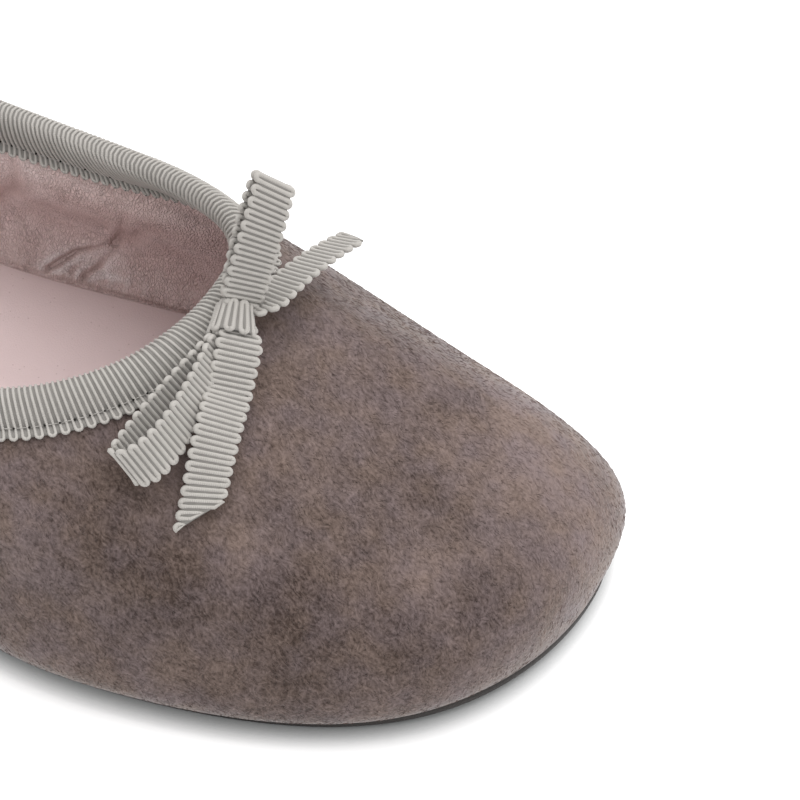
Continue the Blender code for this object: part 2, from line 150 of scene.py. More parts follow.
def upperSkin(places, steps):    # outer skin and outward normals, as (station, step, axis)
    (along, across, bulge, wallUp, cheekIn, cheekUp, vampIn, vampUp,
     topAlong, topAcross, topUp) = closedSpline(sections * sectionScale, places).T
    feather = np.column_stack([along, across])
    spoke = np.column_stack([topAlong, topAcross]) - feather
    reach = np.linalg.norm(spoke, axis=1, keepdims=True)
    share = np.clip(reach / last["spokeReach"], 0.0, 1.0)
    inward = unit((1.0 - share) * planInward(feather) + share * spoke / reach)

    def point(inset, height):
        return np.column_stack([feather + inward * inset[:, None], height])

    seat = soleRise(along) + last["outsole"] + last["play"]
    guides = np.stack([point(np.zeros(len(places)), seat), point(-bulge, wallUp), point(cheekIn, cheekUp),
                       point(vampIn, vampUp), np.column_stack([topAlong, topAcross, topUp])], axis=1)
    skin = openSpline(guides, np.linspace(0.0, guides.shape[1] - 1.0, steps))
    around = np.roll(skin, -1, 0) - np.roll(skin, 1, 0)
    return skin, unit(np.cross(around, np.gradient(skin, axis=1)))


def pathLength(points):
    return np.concatenate([[0.0], np.cumsum(np.linalg.norm(np.diff(points, axis=0), axis=1))])


def downTheWall(skin, normals, drop):    # point and normal of each section, a distance below the collar edge
    places, faces = np.zeros((len(skin), 3)), np.zeros((len(skin), 3))
    drops = np.broadcast_to(drop, len(skin))
    for i, (line, out) in enumerate(zip(skin[:, ::-1], normals[:, ::-1])):
        run = pathLength(line)
        for axis in range(3):
            places[i, axis] = np.interp(drops[i], run, line[:, axis])
            faces[i, axis] = np.interp(drops[i], run, out[:, axis])
    return places, unit(faces)


# The coarse skin is the solids' own, so it gives the shift from the last to the frame
cadPlaces = np.arange(last["cadStations"]) * len(sections) / last["cadStations"]
cadSkin, cadNormals = upperSkin(cadPlaces, last["cadSteps"])
cadLow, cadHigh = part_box("upper")
heelOrigin = 0.5 * (cadSkin.min((0, 1)) + cadSkin.max((0, 1))) - 0.5 * np.array(cadLow + cadHigh) / mm
heelOrigin[2] = 0.0
print("last set out, heel at", np.round(-heelOrigin, 2), "mm")


def toFrame(points):
    return (np.asarray(points, float) - heelOrigin) * mm


# Meshes and pieces

def gridFaces(rows, columns, closedRows=False, closedColumns=False):
    r, c = np.meshgrid(np.arange(rows if closedRows else rows - 1),
                       np.arange(columns if closedColumns else columns - 1), indexing="ij")
    r, c = r.ravel(), c.ravel()
    after, beside = (r + 1) % rows, (c + 1) % columns
    corners = (r * columns + c, after * columns + c, after * columns + beside, r * columns + beside)
    return np.column_stack(corners).tolist()


def meshFrom(name, corners, faces, finish):
    mesh = bpy.data.meshes.new(name)
    mesh.from_pydata(toFrame(corners).tolist(), [], faces)
    mesh.shade_smooth()
    mesh.materials.append(finish)
    mesh.update()
    return mesh


def closedTube(name, rings, finish, flip=False):    # rings of points, capped at both ends
    rows, around = rings.shape[:2]
    faces = gridFaces(rows, around, False, True)
    faces.append(list(range(around)))
    faces.append(list(range(rows * around - 1, (rows - 1) * around - 1, -1)))
    if flip:
        faces = [face[::-1] for face in faces]
    mesh = meshFrom(name, rings.reshape(-1, 3), faces, finish)
    mesh.set_sharp_from_angle(angle=sharpEdge)
    return mesh


def pointAttribute(mesh, name, values):
    kind, field = ("FLOAT_VECTOR", "vector") if np.ndim(values) == 2 else ("FLOAT", "value")
    mesh.attributes.new(name, kind, "POINT").data.foreach_set(field, np.asarray(values, np.float32).ravel())


def addPiece(mesh, slot, *nodes):
    piece = bpy.data.objects.new(mesh.name, mesh)
    bpy.context.scene.collection.objects.link(piece)
    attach(piece, "root")
    if nodes:
        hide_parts(*nodes)
    print("piece", piece.name, sum(len(p.vertices) - 2 for p in mesh.polygons), "triangles")


class Bench:    # one node tree, called b below, with short ways to fill it
    families = ("ShaderNode", "GeometryNode", "FunctionNode")

    def __init__(self, tree):
        self.tree = tree

    def feed(self, socket, value):    # a wire or a plain value
        if isinstance(value, bpy.types.NodeSocket):
            self.tree.links.new(value, socket)
        else:
            socket.default_value = value

    def node(self, kind, inputs=None, **settings):    # kind is the node's type without its family
        family = next(name for name in self.families if hasattr(bpy.types, name + kind))
        made = self.tree.nodes.new(family + kind)
        for key, value in settings.items():
            setattr(made, key, value)
        for key, value in (inputs or {}).items():
            self.feed(made.inputs[key], value)
        return made

    def add(self, kind, inputs=None, **settings):    # gives the node's first outlet
        return self.node(kind, inputs, **settings).outputs[0]

    def maths(self, operation, first, second=0.0, third=0.0):
        return self.add("Math", {0: first, 1: second, 2: third}, operation=operation)

    def times(self, first, second):
        return self.maths("MULTIPLY", first, second)

    def minus(self, first, second):
        return self.maths("SUBTRACT", first, second)

    def timesPlus(self, first, second, third):
        return self.maths("MULTIPLY_ADD", first, second, third)

    def spread(self, value, low, high, start=0.0, end=1.0, way="LINEAR"):
        limits = {"Value": value, "From Min": low, "From Max": high, "To Min": start, "To Max": end}
        return self.add("MapRange", limits, interpolation_type=way)

    def combine(self, x, y=0.0, z=0.0):
        return self.add("CombineXYZ", {0: x, 1: y, 2: z})

    def across(self, vector):
        return self.node("SeparateXYZ", {0: vector}).outputs[1]

    def scaled(self, vector, size):
        return self.add("VectorMath", {0: vector, "Scale": size}, operation="SCALE")

    def pushed(self, place, push, size):
        return self.add("VectorMath", {0: push, 1: (size, size, size), 2: place}, operation="MULTIPLY_ADD")

    def place(self):
        return self.node("TexCoord").outputs["Object"]

    def painted(self, name, outlet="Fac"):    # an attribute, in a finish
        return self.node("Attribute", attribute_name=name).outputs[outlet]

    def stored(self, name, kind):    # an attribute, in a tree of shapes
        return self.node("InputNamedAttribute", {"Name": name}, data_type=kind).outputs["Attribute"]

    def noise(self, place, scale, detail=2.0, roughness=0.5, outlet=0):
        inputs = {"Vector": place, "Scale": scale, "Detail": detail, "Roughness": roughness}
        return self.node("TexNoise", inputs).outputs[outlet]

    def blend(self, factor, first, second, way="MIX"):
        mix = self.node("Mix", data_type="RGBA", blend_type=way)
        for slot, value in ((0, factor), (6, first), (7, second)):
            self.feed(mix.inputs[slot], value)
        return mix.outputs[2]

    def bump(self, sockets, height, distance, strength):
        raised = self.add("Bump", {"Strength": strength, "Distance": distance, "Height": height})
        self.feed(sockets["Normal"], raised)

    def group(self, group, values):
        return self.node("Group", values, node_tree=group).outputs

    def real(self, shape):
        return self.add("RealizeInstances", {"Geometry": shape})

    def dressed(self, shape, finish):
        return self.add("SetMaterial", {"Geometry": shape, "Material": finish})

    def join(self, *shapes):
        joined = self.node("JoinGeometry")
        for shape in shapes:
            self.feed(joined.inputs[0], shape)
        return joined.outputs[0]


def openBench(tree):    # with the sockets that a group is given and those that it fills
    return Bench(tree), tree.nodes.new("NodeGroupInput").outputs, tree.nodes.new("NodeGroupOutput").inputs


def newTree(name, sockets):
    tree = bpy.data.node_groups.new(name, "GeometryNodeTree")
    tree.interface.new_socket("Geometry", in_out="OUTPUT", socket_type="NodeSocketGeometry")
    tree.interface.new_socket("Geometry", in_out="INPUT", socket_type="NodeSocketGeometry")
    for label, kind in sockets.items():
        tree.interface.new_socket(label, in_out="INPUT", socket_type="NodeSocket" + kind)
    return openBench(tree)


def growTree(mesh, tree, values, name):    # runs a tree on a mesh and gives the plain mesh that it makes
    holder = bpy.data.objects.new(name + "_source", mesh)
    bpy.context.scene.collection.objects.link(holder)
    modifier = holder.modifiers.new(tree.name, "NODES")
    modifier.node_group = tree
    for item in tree.interface.items_tree:
        if item.item_type == "SOCKET" and item.in_out == "INPUT" and item.name in values:
            modifier[item.identifier] = values[item.name]
    graph = bpy.context.evaluated_depsgraph_get()
    grown = bpy.data.meshes.new_from_object(holder.evaluated_get(graph))
    grown.name = name
    holder.modifiers.remove(modifier)
    bpy.data.objects.remove(holder)
    return grown


# Shader groups shared by several finishes

def newGroup(name, inputs, outputs):
    group = bpy.data.node_groups.new(name, "ShaderNodeTree")
    for label, (kind, start) in inputs.items():
        socket = group.interface.new_socket(label, in_out="INPUT", socket_type="NodeSocket" + kind)
        socket.default_value = start
    for label, kind in outputs.items():
        group.interface.new_socket(label, in_out="OUTPUT", socket_type="NodeSocket" + kind)
    return openBench(group)


mottleSettings = {
    "dark": (0.046, 0.032, 0.0275, 1),
    "light": (0.212, 0.163, 0.152, 1),
    "brown": (1.04, 0.995, 0.925, 1),
    "grey": (0.985, 0.98, 1.03, 1),
    "drift": (160.0, 0.36, 0.64),            # scale, where it is brown, where it is grey
    "napAndLight": (0.23, 0.49),                   # gain of the marks (nap tone with painted light and shade), middle tone
    "patches": (85.0, 4.0, 0.6),             # scale, detail and roughness of each kind of mark
    "flecks": (520.0, 2.0, 0.6),
    "grain": (1900.0, 2.0, 0.6),
    "streaks": (1.0, 2.0, 0.6),
    "weights": (0.6, 0.5, 0.9, 1.1),         # of the four kinds of mark
    "streakSize": (0.0016, 0.0004, 0.0004),
    "streakTurn": (0.0, math.radians(24), math.radians(-24)),
    "swirl": (260.0, 0.004),                 # scale, push
}


def makeNapMottle():    # soft patches, flecks, grain, short streaks and a drift from brown to grey
    s = mottleSettings
    b, given, result = newGroup("napMottle", {
        "Brush": ("Float", 0.0), "Contrast": ("Float", 1.0), "Dark": ("Color", s["dark"]),
        "Light": ("Color", s["light"])}, {"Colour": "Color", "Grain": "Float"})
    place = b.place()
    patches, flecks, grain = (b.noise(place, *s[mark]) for mark in ("patches", "flecks", "grain"))
    scale, size = s["swirl"]
    push = b.add("VectorMath", {0: b.noise(place, scale, outlet="Color"), 1: (0.5, 0.5, 0.5)},
                 operation="SUBTRACT")
    combed = b.add("Mapping", {"Vector": b.pushed(place, push, size), "Rotation": s["streakTurn"],
                   "Scale": s["streakSize"]}, vector_type="TEXTURE")
    streaks = b.noise(combed, *s["streaks"])
    # the marks' tone, nap tone with painted light and shade, shifts the middle tone
    tone = b.timesPlus(given["Brush"], *s["napAndLight"])
    for mark, weight in zip((patches, flecks, grain, streaks), s["weights"]):
        tone = b.maths("ADD", tone, b.times(b.minus(mark, 0.5), b.times(given["Contrast"], weight)))
    scale, brownAt, greyAt = s["drift"]
    hue = b.blend(b.spread(b.noise(place, scale), brownAt, greyAt), s["brown"], s["grey"])
    b.feed(result["Colour"], b.blend(1.0, b.blend(tone, given["Dark"], given["Light"]), hue, "MULTIPLY"))
    b.feed(result["Grain"], b.timesPlus(streaks, 0.7, b.times(grain, 0.5)))
    return b.tree


leatherSettings = {
    "wander": (420.0, 0.0013),               # scale, push
    "turn": (0.0, math.radians(-18), 0.0),
    "stretch": (1.0, 1.0, 0.55),
    "pebbleEdge": 0.2,
    "rutEdge": 0.06,
    "rutScale": 0.3,                         # of the cells' scale
    "smoother": (200.0, 0.34, 0.6),          # scale, where it is smooth, where it is rough
}


def makeLeatherGrain():    # pebbled cells, drawn out along the leather, with fine ruts wandering over them
    s = leatherSettings
    b, given, result = newGroup("leatherGrain", {"Cells": ("Float", 1200.0), "Drift": ("Float", 60.0)},
                                {"Height": "Float", "Wrinkle": "Float", "Tone": "Float"})
    place = b.place()
    scale, size = s["wander"]
    wander = b.pushed(place, b.noise(place, scale, 3.0, 0.6, "Color"), size)
    drawn = b.add("Mapping", {"Vector": wander, "Rotation": s["turn"], "Scale": s["stretch"]})
    cells = b.add("TexVoronoi", {"Vector": drawn, "Scale": given["Cells"]}, feature="DISTANCE_TO_EDGE")
    pebble = b.spread(cells, 0.0, s["pebbleEdge"], way="SMOOTHSTEP")
    fine = b.noise(place, 2600.0, 3.0, 0.6)
    scale, smoothAt, roughAt = s["smoother"]
    depth = b.spread(b.noise(place, scale, 3.0), smoothAt, roughAt)
    winding = b.noise(drawn, b.times(given["Cells"], s["rutScale"]), 3.0, 0.6)
    besideRut = b.maths("ABSOLUTE", b.minus(winding, 0.5))
    line = b.times(b.spread(besideRut, 0.0, s["rutEdge"], 1.0, 0.0, "SMOOTHSTEP"), depth)
    relief = b.timesPlus(pebble, 0.8, b.times(line, -0.6))
    between = b.times(b.minus(1.0, pebble), depth)
    b.feed(result["Height"], b.timesPlus(fine, 0.5, relief))
    b.feed(result["Wrinkle"], b.timesPlus(between, 0.5, b.times(line, 0.5)))
    b.feed(result["Tone"], b.noise(place, given["Drift"], 4.0, 0.6))
    return b.tree


napMottle = makeNapMottle()
leatherGrain = makeLeatherGrain()


# Finishes

def newFinish(name, roughness, specular, sheen=0.0, sheenRoughness=0.5):
    material = bpy.data.materials.new(name)
    material.use_nodes = True
    sockets = material.node_tree.nodes["Principled BSDF"].inputs
    for label, value in (("Roughness", roughness), ("Specular IOR Level", specular), ("Sheen Weight", sheen),
                         ("Sheen Roughness", sheenRoughness)):
        sockets[label].default_value = value
    return material, Bench(material.node_tree), sockets


def suedeFinish():
    material, b, sockets = newFinish("brushed_suede", 0.95, 0.1, 0.4, 0.4)
    # this attribute brings the nap's tone with painted light and shade
    nap = b.group(napMottle, {"Brush": b.painted("napAndLight")})
    b.feed(sockets["Base Color"], nap["Colour"])
    b.bump(sockets, nap["Grain"], 0.0004, 0.5)
    return material


def fibreFinish():
    material, b, sockets = newFinish("suede_fibre", 0.9, 0.1, 0.3, 0.4)
    # this attribute brings the nap's tone with painted light and shade
    nap = b.group(napMottle, {"Brush": b.painted("napAndLight"), "Contrast": 0.6})
    lift = b.spread(b.painted("fibreShade"), 0.0, 1.0, 0.95, 1.6)    # single fibres catch the light
    b.feed(sockets["Base Color"], b.scaled(nap["Colour"], lift))
    return material


def liningFinish():
    material, b, sockets = newFinish("pink_lining_leather", 0.45, 0.45)
    grain = b.group(leatherGrain, {"Cells": 1900.0, "Drift": 60.0})
    fold, sheenSpot = b.painted("fold"), b.painted("sheenSpot")
    # painted light and shade: the fold attribute makes the lining lighter on the crests of its folds and
    # pleats, darker in their troughs and along the seam by the sock
    tone = b.spread(b.timesPlus(fold, 0.5, grain["Tone"]), 0.3, 0.7)
    skin = b.blend(tone, (0.74, 0.572, 0.545, 1), (0.87, 0.73, 0.712, 1))
    paintedSheen = b.times(sheenSpot, b.spread(fold, -0.12, 0.2))    # painted highlight: the tops of the folds near the sock are painted lighter
    skin = b.blend(paintedSheen, skin, (0.97, 0.89, 0.88, 1))
    # painted shade: the crease troughs are darkened, on top of the grain's own dark wrinkles
    trough = b.spread(fold, -0.8, -0.2, 0.6, 0.0)
    wrinkleAndShade = b.maths("MAXIMUM", b.times(grain["Wrinkle"], 0.5), trough)
    b.feed(sockets["Base Color"], b.blend(wrinkleAndShade, skin, (0.3, 0.19, 0.175, 1)))
    b.feed(sockets["Roughness"], b.timesPlus(sheenSpot, -0.14, 0.45))
    b.bump(sockets, grain["Height"], 0.0003, 0.8)
    return material


def sockFinish():
    material, b, sockets = newFinish("pink_sock_leather", 0.45, 0.35)
    grain = b.group(leatherGrain, {"Cells": 2400.0, "Drift": 30.0})
    pores = b.add("TexVoronoi", {"Vector": b.place(), "Scale": 620.0}, feature="F1")
    pit = b.spread(pores, 0.04, 0.11)
    tone = b.spread(grain["Tone"], 0.3, 0.7)
    smooth = b.blend(tone, (0.69, 0.552, 0.547, 1), (0.745, 0.608, 0.603, 1))
    b.feed(sockets["Base Color"], b.blend(pit, (0.54, 0.41, 0.4, 1), smooth))
    b.bump(sockets, b.timesPlus(pit, 0.8, grain["Height"]), 0.00005, 0.4)
    return material


def soleFinish():
    material, b, sockets = newFinish("dark_sole_leather", 0.62, 0.35)
    grain = b.group(leatherGrain, {"Cells": 900.0, "Drift": 40.0})
    b.feed(sockets["Base Color"], b.blend(grain["Tone"], (0.010, 0.008, 0.008, 1), (0.034, 0.027, 0.024, 1)))
    b.bump(sockets, grain["Height"], 0.0001, 0.6)
    return material


def yarnFinish():
    material, b, sockets = newFinish("grosgrain_yarn", 0.62, 0.3, 0.15)
    across = b.across(b.painted("flatPlace", "Vector"))
    twill = b.maths("SINE", b.times(across, 2.0 * math.pi / 0.00034))    # warp threads over each rib
    drift = b.noise(b.place(), 260.0, 3.0, 0.6)
    b.feed(sockets["Base Color"], b.blend(drift, (0.375, 0.355, 0.329, 1), (0.465, 0.441, 0.413, 1)))
    b.bump(sockets, twill, 0.00003, 0.5)
    return material


def speckledFinish(name, roughness, specular, scale, detail, dark, light, bump):
    material, b, sockets = newFinish(name, roughness, specular)
    drift = b.noise(b.place(), scale, detail)
    b.feed(sockets["Base Color"], b.blend(drift, dark, light))
    if bump:
        b.bump(sockets, drift, bump, 0.6)
    return material


suede, fibre, liningLeather = suedeFinish(), fibreFinish(), liningFinish()
sockLeather, soleLeather, yarn = sockFinish(), soleFinish(), yarnFinish()
# painted shade: the woven ground between the ribs, and the knot's core seen through its slits, are darker
# than the yarn to stand for the shade in the grooves
groundShade = speckledFinish("grosgrain_ground_shade", 0.8, 0.2, 900.0, 2.0,
                        (0.19, 0.18, 0.168, 1), (0.245, 0.233, 0.218, 1), 0.00008)
thread = speckledFinish("sewing_thread", 0.7, 0.3, 1500.0, 2.0,
                        (0.27, 0.255, 0.24, 1), (0.42, 0.4, 0.375, 1), 0.00005)
# painted shade: near-black flattened beads stand for the shade in the needle holes
holeShade = speckledFinish("needle_hole_shade", 0.9, 0.1, 2500.0, 1.0,
                            (0.012, 0.011, 0.01, 1), (0.04, 0.037, 0.034, 1), 0.0)
print("finishes mixed")


# Suede upper. Marks are along, across, radius in mm and tone: some where the nap lies lighter or darker,
# some painted light on the toe, its inner edge and the vamp beside the knot, some painted shade low on the
# outer side.
upperSettings = {
    "thick": 1.0,
    "plainStations": 22,
    "fineStations": 46,
    "fineRows": range(3, 12),
    "steps": 78,
    "napAndLightMarks": (
        (240.0, 14.0, 16.0, 1.1), (222.0, 28.0, 13.0, 0.9), (205.0, 34.0, 11.0, 0.6),
        (236.0, -9.0, 6.0, 0.7), (186.0, 16.0, 9.0, 0.4), (190.0, 11.0, 8.0, 0.8),
        (227.0, 3.0, 10.0, 0.5), (212.0, 30.0, 10.0, 0.5), (194.5, -24.5, 4.8, 0.8),
        (219.0, -13.1, 4.8, 0.8), (210.1, -20.9, 3.5, 0.5), (231.0, 14.0, 7.0, 0.6),
        (222.0, 17.5, 6.0, 0.5), (240.0, 6.3, 5.0, 0.6), (167.3, -37.6, 7.0, 0.2),
        (213.0, 8.0, 8.0, 0.4), (208.0, -30.0, 8.5, -0.9), (199.0, -32.5, 9.0, -0.7),
        (172.0, -34.0, 10.0, -0.5), (222.0, -21.0, 5.0, -0.8), (228.0, -11.0, 6.0, -0.7),
        (233.0, -7.0, 5.0, -0.8), (214.0, -3.0, 4.5, -0.5), (178.0, -32.0, 5.5, -0.6),
        (186.5, -33.0, 5.0, -0.6), (220.0, -2.5, 3.5, -0.3)),
}


# tone of the marks at each point: the nap's own tone together with painted light and shade
def napAndLightTone(points):
    tone = np.zeros(len(points))
    for along, across, radius, strength in upperSettings["napAndLightMarks"]:
        away = (points[:, 0] - along) ** 2 + (points[:, 1] - across) ** 2
        tone += strength * np.exp(-away / radius ** 2)
    return tone


def makeUpper():
    s = upperSettings
    skin, normals = upperSkin(stationPlaces(s), s["steps"])
    wall = np.concatenate([skin, (skin - s["thick"] * normals)[:, ::-1]], axis=1)
    corners = wall.reshape(-1, 3)
    mesh = meshFrom("suede_upper", corners, gridFaces(*wall.shape[:2], True, True), suede)
    # this attribute carries the nap's tone together with painted light and shade
    pointAttribute(mesh, "napAndLight", napAndLightTone(corners))
    addPiece(mesh, "suede", "upper")
    return skin


upperOuter = makeUpper()


# Nap fibres, leaning down the wall
napSettings = {
    "perSquareMm": 1.7,
    "length": 0.8,
    "width": 0.13,
    "seed": 11,
    "steps": slice(2, -6),                # of the skin, not under the ribbon or the sole
    "clearEdge": 1.6,                     # bare strip above the sole at the toe
    "clearFrom": (188.0, 204.0),
    "thinner": 0.35,                      # share of fibres left out at the toe
    "thinFrom": (205.0, 240.0),
    "ruffleLow": (0.0, -0.09, -0.7),      # lift off the skin, turn about it
    "ruffleHigh": (0.0, -0.01, 0.7),
    "lengths": (0.5, 1.3),                # shortest and longest, as shares of the length
    "taper": 1.15,
}


def makeNapTree():
    s = napSettings
    b, given, result = newTree("napFibres", {"Density": "Float", "Length": "Float", "Width": "Float",
                                             "Seed": "Int", "Fibre": "Material"})

    def chance(low, high, seed, kind="FLOAT"):
        made = b.node("RandomValue", {"Seed": seed}, data_type=kind)
        first, outlet = (0, 0) if kind == "FLOAT_VECTOR" else (2, 1)
        made.inputs[first].default_value = low
        made.inputs[first + 1].default_value = high
        return made.outputs[outlet]

    density = b.times(given["Density"], b.stored("napThick", "FLOAT"))
    scatter = b.node("DistributePointsOnFaces", {"Mesh": given["Geometry"], "Seed": given["Seed"],
                     "Density": density}, distribute_method="RANDOM").outputs
    upright = b.add("AlignRotationToVector", {"Vector": scatter["Normal"]}, axis="Z")
    run = b.stored("napRun", "FLOAT_VECTOR")
    combed = b.add("AlignRotationToVector", {"Rotation": upright, "Vector": run}, axis="X", pivot_axis="Z")
    lean = b.add("EulerToRotation", {0: chance(s["ruffleLow"], s["ruffleHigh"], 3, "FLOAT_VECTOR")})
    turned = b.add("RotateRotation", {"Rotation": combed, "Rotate By": lean}, rotation_space="LOCAL")
    spine = b.add("MeshToCurve", {"Mesh": b.add("MeshLine", {"Count": 3, "Offset": (0.5, 0.0, 0.0)})})
    edge = b.add("CurvePrimitiveLine", {"Start": (0.0, -0.5, 0.0), "End": (0.0, 0.5, 0.0)})
    taper = b.minus(s["taper"], b.add("SplineParameter"))
    strip = b.add("CurveToMesh", {"Curve": spine, "Profile Curve": edge, "Scale": taper})
    length = b.times(given["Length"], chance(*s["lengths"], 5))
    size = b.combine(length, given["Width"], given["Width"])
    laid = b.add("InstanceOnPoints", {"Points": scatter["Points"], "Instance": strip, "Rotation": turned,
                 "Scale": size})
    shade = chance(0.0, 1.0, 9)
    shaded = b.add("StoreNamedAttribute", {"Geometry": laid, "Name": "fibreShade", "Value": shade},
                   data_type="FLOAT", domain="INSTANCE")
    b.feed(result["Geometry"], b.dressed(b.real(shaded), given["Fibre"]))
    return b.tree


def makeNap():
    s = napSettings
    skin = upperOuter[:, s["steps"]]
    downhill = -np.gradient(upperOuter, axis=1)[:, s["steps"]]
    corners = skin.reshape(-1, 3)
    along = corners[:, 0]
    mesh = meshFrom("nap_ground", corners, gridFaces(*skin.shape[:2], True), fibre)
    pointAttribute(mesh, "napRun", unit(downhill).reshape(-1, 3))
    above = corners[:, 2] - soleRise(along) - last["outsole"]
    bare = ease(*s["clearFrom"], along) * (above < s["clearEdge"])
    pointAttribute(mesh, "napThick", (1.0 - bare) * (1.0 - s["thinner"] * ease(*s["thinFrom"], along)))
    # the fibres carry the same nap tone with painted light and shade
    pointAttribute(mesh, "napAndLight", napAndLightTone(corners))
    values = {"Density": s["perSquareMm"] / mm ** 2, "Length": s["length"] * mm, "Width": s["width"] * mm,
              "Seed": s["seed"], "Fibre": fibre}
    addPiece(growTree(mesh, makeNapTree(), values, "suede_nap"), "suede")


makeNap()


# Lining. Creases are along and up in mm on the inner side of the shoe, from the sock to the top.
liningSettings = {
    "start": 1.05,             # outer face of the lining, inside the suede
    "plainStations": 20,
    "fineStations": 170,
    "fineRows": (11,),
    "steps": 76,
    "creases": (               # path, depth, width
        (((129.0, 5.6), (131.0, 7.5), (133.5, 9.9), (137.4, 12.0), (140.3, 13.7)), 0.95, 0.6),
        (((140.3, 13.7), (141.2, 16.3), (143.5, 21.4), (146.1, 28.0), (147.6, 33.0)), 0.5, 0.7),
        (((135.4, 5.3), (138.0, 8.5), (140.0, 12.1), (140.8, 13.6)), 0.6, 0.6),
        (((140.3, 13.7), (143.6, 17.8), (147.5, 24.6), (151.5, 29.5)), 0.45, 1.5),
        (((118.5, 18.0), (120.4, 20.6), (124.0, 25.7), (127.4, 30.0), (129.9, 33.1)), 0.6, 1.6),
        (((127.7, 36.6), (127.7, 33.8), (125.7, 28.7)), 0.4, 1.2),
        (((136.5, 6.0), (138.3, 6.9), (141.2, 6.9), (143.8, 6.9)), -0.35, 0.6),
        (((142.5, 41.0), (144.6, 38.0), (146.0, 35.0)), 0.25, 0.7),
    ),
    "shoulder": 0.45,          # height of a crease's soft sides, as a share of its depth
    "endFade": 0.75,
    "sheenSpots": ((129.5, 7.0, 2.5, 0.9), (134.5, 6.6, 2.8, 1.0), (140.0, 7.2, 3.0, 0.9),
             (146.0, 7.5, 3.0, 0.5)),      # painted sheen spots near the sock: along, up, radius, shine
    "seamShade": 0.75,         # painted shade line where it meets the sock
    "seamDrop": 0.55,
    "seamWide": 0.3,
    "pleatPitch": 2.1,
    "pleatDepth": 0.3,
    "pleatReach": 4.5,
    "pleatWide": 0.55,
    "pleatGroove": (0.5, 0.9, 0.5),        # beside each pleat: depth share, distance, width
    "pleatShift": 0.8,
    "pleatLean": 0.6,
    "pleatSizes": (0.15, 1.0),
    "rippleDepth": 0.12,
    "ripples": ((3.1, 2.3), (5.3, -3.7)),  # along, up
    "settle": (-1.5, 0.5),                 # smooth below the sock
}


def creaseRelief(along, up, path, depth, wide):    # a trough with soft shoulders, fading at its far end
    s = liningSettings
    path = np.array(path)
    nearest = np.full(along.shape, 1e9)
    share = np.zeros(along.shape)
    for k in range(len(path) - 1):
        run = path[k + 1] - path[k]
        t = np.clip(((along - path[k, 0]) * run[0] + (up - path[k, 1]) * run[1]) / (run @ run), 0.0, 1.0)
        away = np.hypot(along - path[k, 0] - t * run[0], up - path[k, 1] - t * run[1])
        share = np.where(away < nearest, (k + t) / (len(path) - 1), share)
        nearest = np.minimum(nearest, away)
    trough = -np.exp(-(nearest / wide) ** 2) + s["shoulder"] * np.exp(-((nearest - 2.0 * wide) / wide) ** 2)
    return depth * trough * (1.0 - s["endFade"] * share ** 2)


def pleatRelief(skin, lift):    # small pleats that stand on the sock, each with its own lean and size
    s = liningSettings
    run = np.cumsum(np.linalg.norm(np.roll(skin[:, 0], -1, 0) - skin[:, 0], axis=1))
    pleats = np.arange(0.0, run[-1], s["pleatPitch"])
    pleats += rng.uniform(-s["pleatShift"], s["pleatShift"], len(pleats))
    leans = rng.uniform(-s["pleatLean"], s["pleatLean"], len(pleats))
    sizes = rng.uniform(*s["pleatSizes"], len(pleats))
    grooveDepth, grooveAway, grooveWide = s["pleatGroove"]
    relief = np.zeros(lift.shape)
    for centre, lean, size in zip(pleats, leans, sizes):
        side = np.abs(run[:, None] - centre - lean * lift)
        fade = ease(0.0, 1.0, 1.0 - lift / (s["pleatReach"] * (0.5 + size)))
        groove = grooveDepth * np.exp(-((side - grooveAway) / grooveWide) ** 2)
        relief += s["pleatDepth"] * size * fade * (np.exp(-(side / s["pleatWide"]) ** 2) - groove)
    return relief


def makeLining():
    s = liningSettings
    skin, normals = upperSkin(stationPlaces(s), s["steps"])
    along, across, up = np.moveaxis(skin - last["wall"] * normals, 2, 0)
    lift = up - (soleRise(along) + last["outsole"] + last["insole"] + last["play"])    # above the sock
    innerSide = across > 0.0
    relief = pleatRelief(skin, lift)
    for path, depth, wide in s["creases"]:
        relief += np.where(innerSide, creaseRelief(along, up, path, depth, wide), 0.0)
    ripple = s["rippleDepth"]
    for longWave, highWave in s["ripples"]:
        ripple = ripple * np.sin(along / longWave + up / highWave)
    relief = (relief + ripple) * ease(*s["settle"], lift)
    inner = skin - (last["wall"] + relief)[..., None] * normals
    wall = np.concatenate([skin - s["start"] * normals, inner[:, ::-1]], axis=1)
    faces = gridFaces(*wall.shape[:2], True, True)
    mesh = meshFrom("pink_lining", wall.reshape(-1, 3), faces, liningLeather)
    # the fold attribute is the relief plus a painted shade line by the sock; the finish paints light and
    # shade from it
    fold = relief - s["seamShade"] * np.exp(-((lift + s["seamDrop"]) / s["seamWide"]) ** 2)
    # painted sheen spots along the folds near the sock; the finish also makes them less rough
    shine = np.zeros(relief.shape)
    for place, height, radius, strength in s["sheenSpots"]:
        spotSheen = strength * np.exp(-((along - place) ** 2 + (up - height) ** 2) / radius ** 2)
        shine += np.where(innerSide, spotSheen, 0.0)
    for name, values in (("fold", np.clip(fold, -1.0, 1.0)), ("sheenSpot", shine)):
        pointAttribute(mesh, name, np.concatenate([np.zeros(values.shape), values[:, ::-1]], axis=1).ravel())
    addPiece(mesh, "sock_leather")
    return skin - last["wall"] * normals


liningInner = makeLining()


# Sock and sole, cut across in strips from heel to toe
soleSettings = {
    "stations": 220,
    "acrossPoints": 28,
    "sockEdge": 0.7,
    "sockCrown": 0.5,
    "sockGap": 0.15,
    "sockSteps": 20,         # lowest steps of the lining, where the sock meets it
    "crownRound": 0.6,
    "bevelShare": 0.2,       # of the width, at the ends
    "soleProud": 0.1,        # past the feather line
    "soleEdge": 0.5,
}


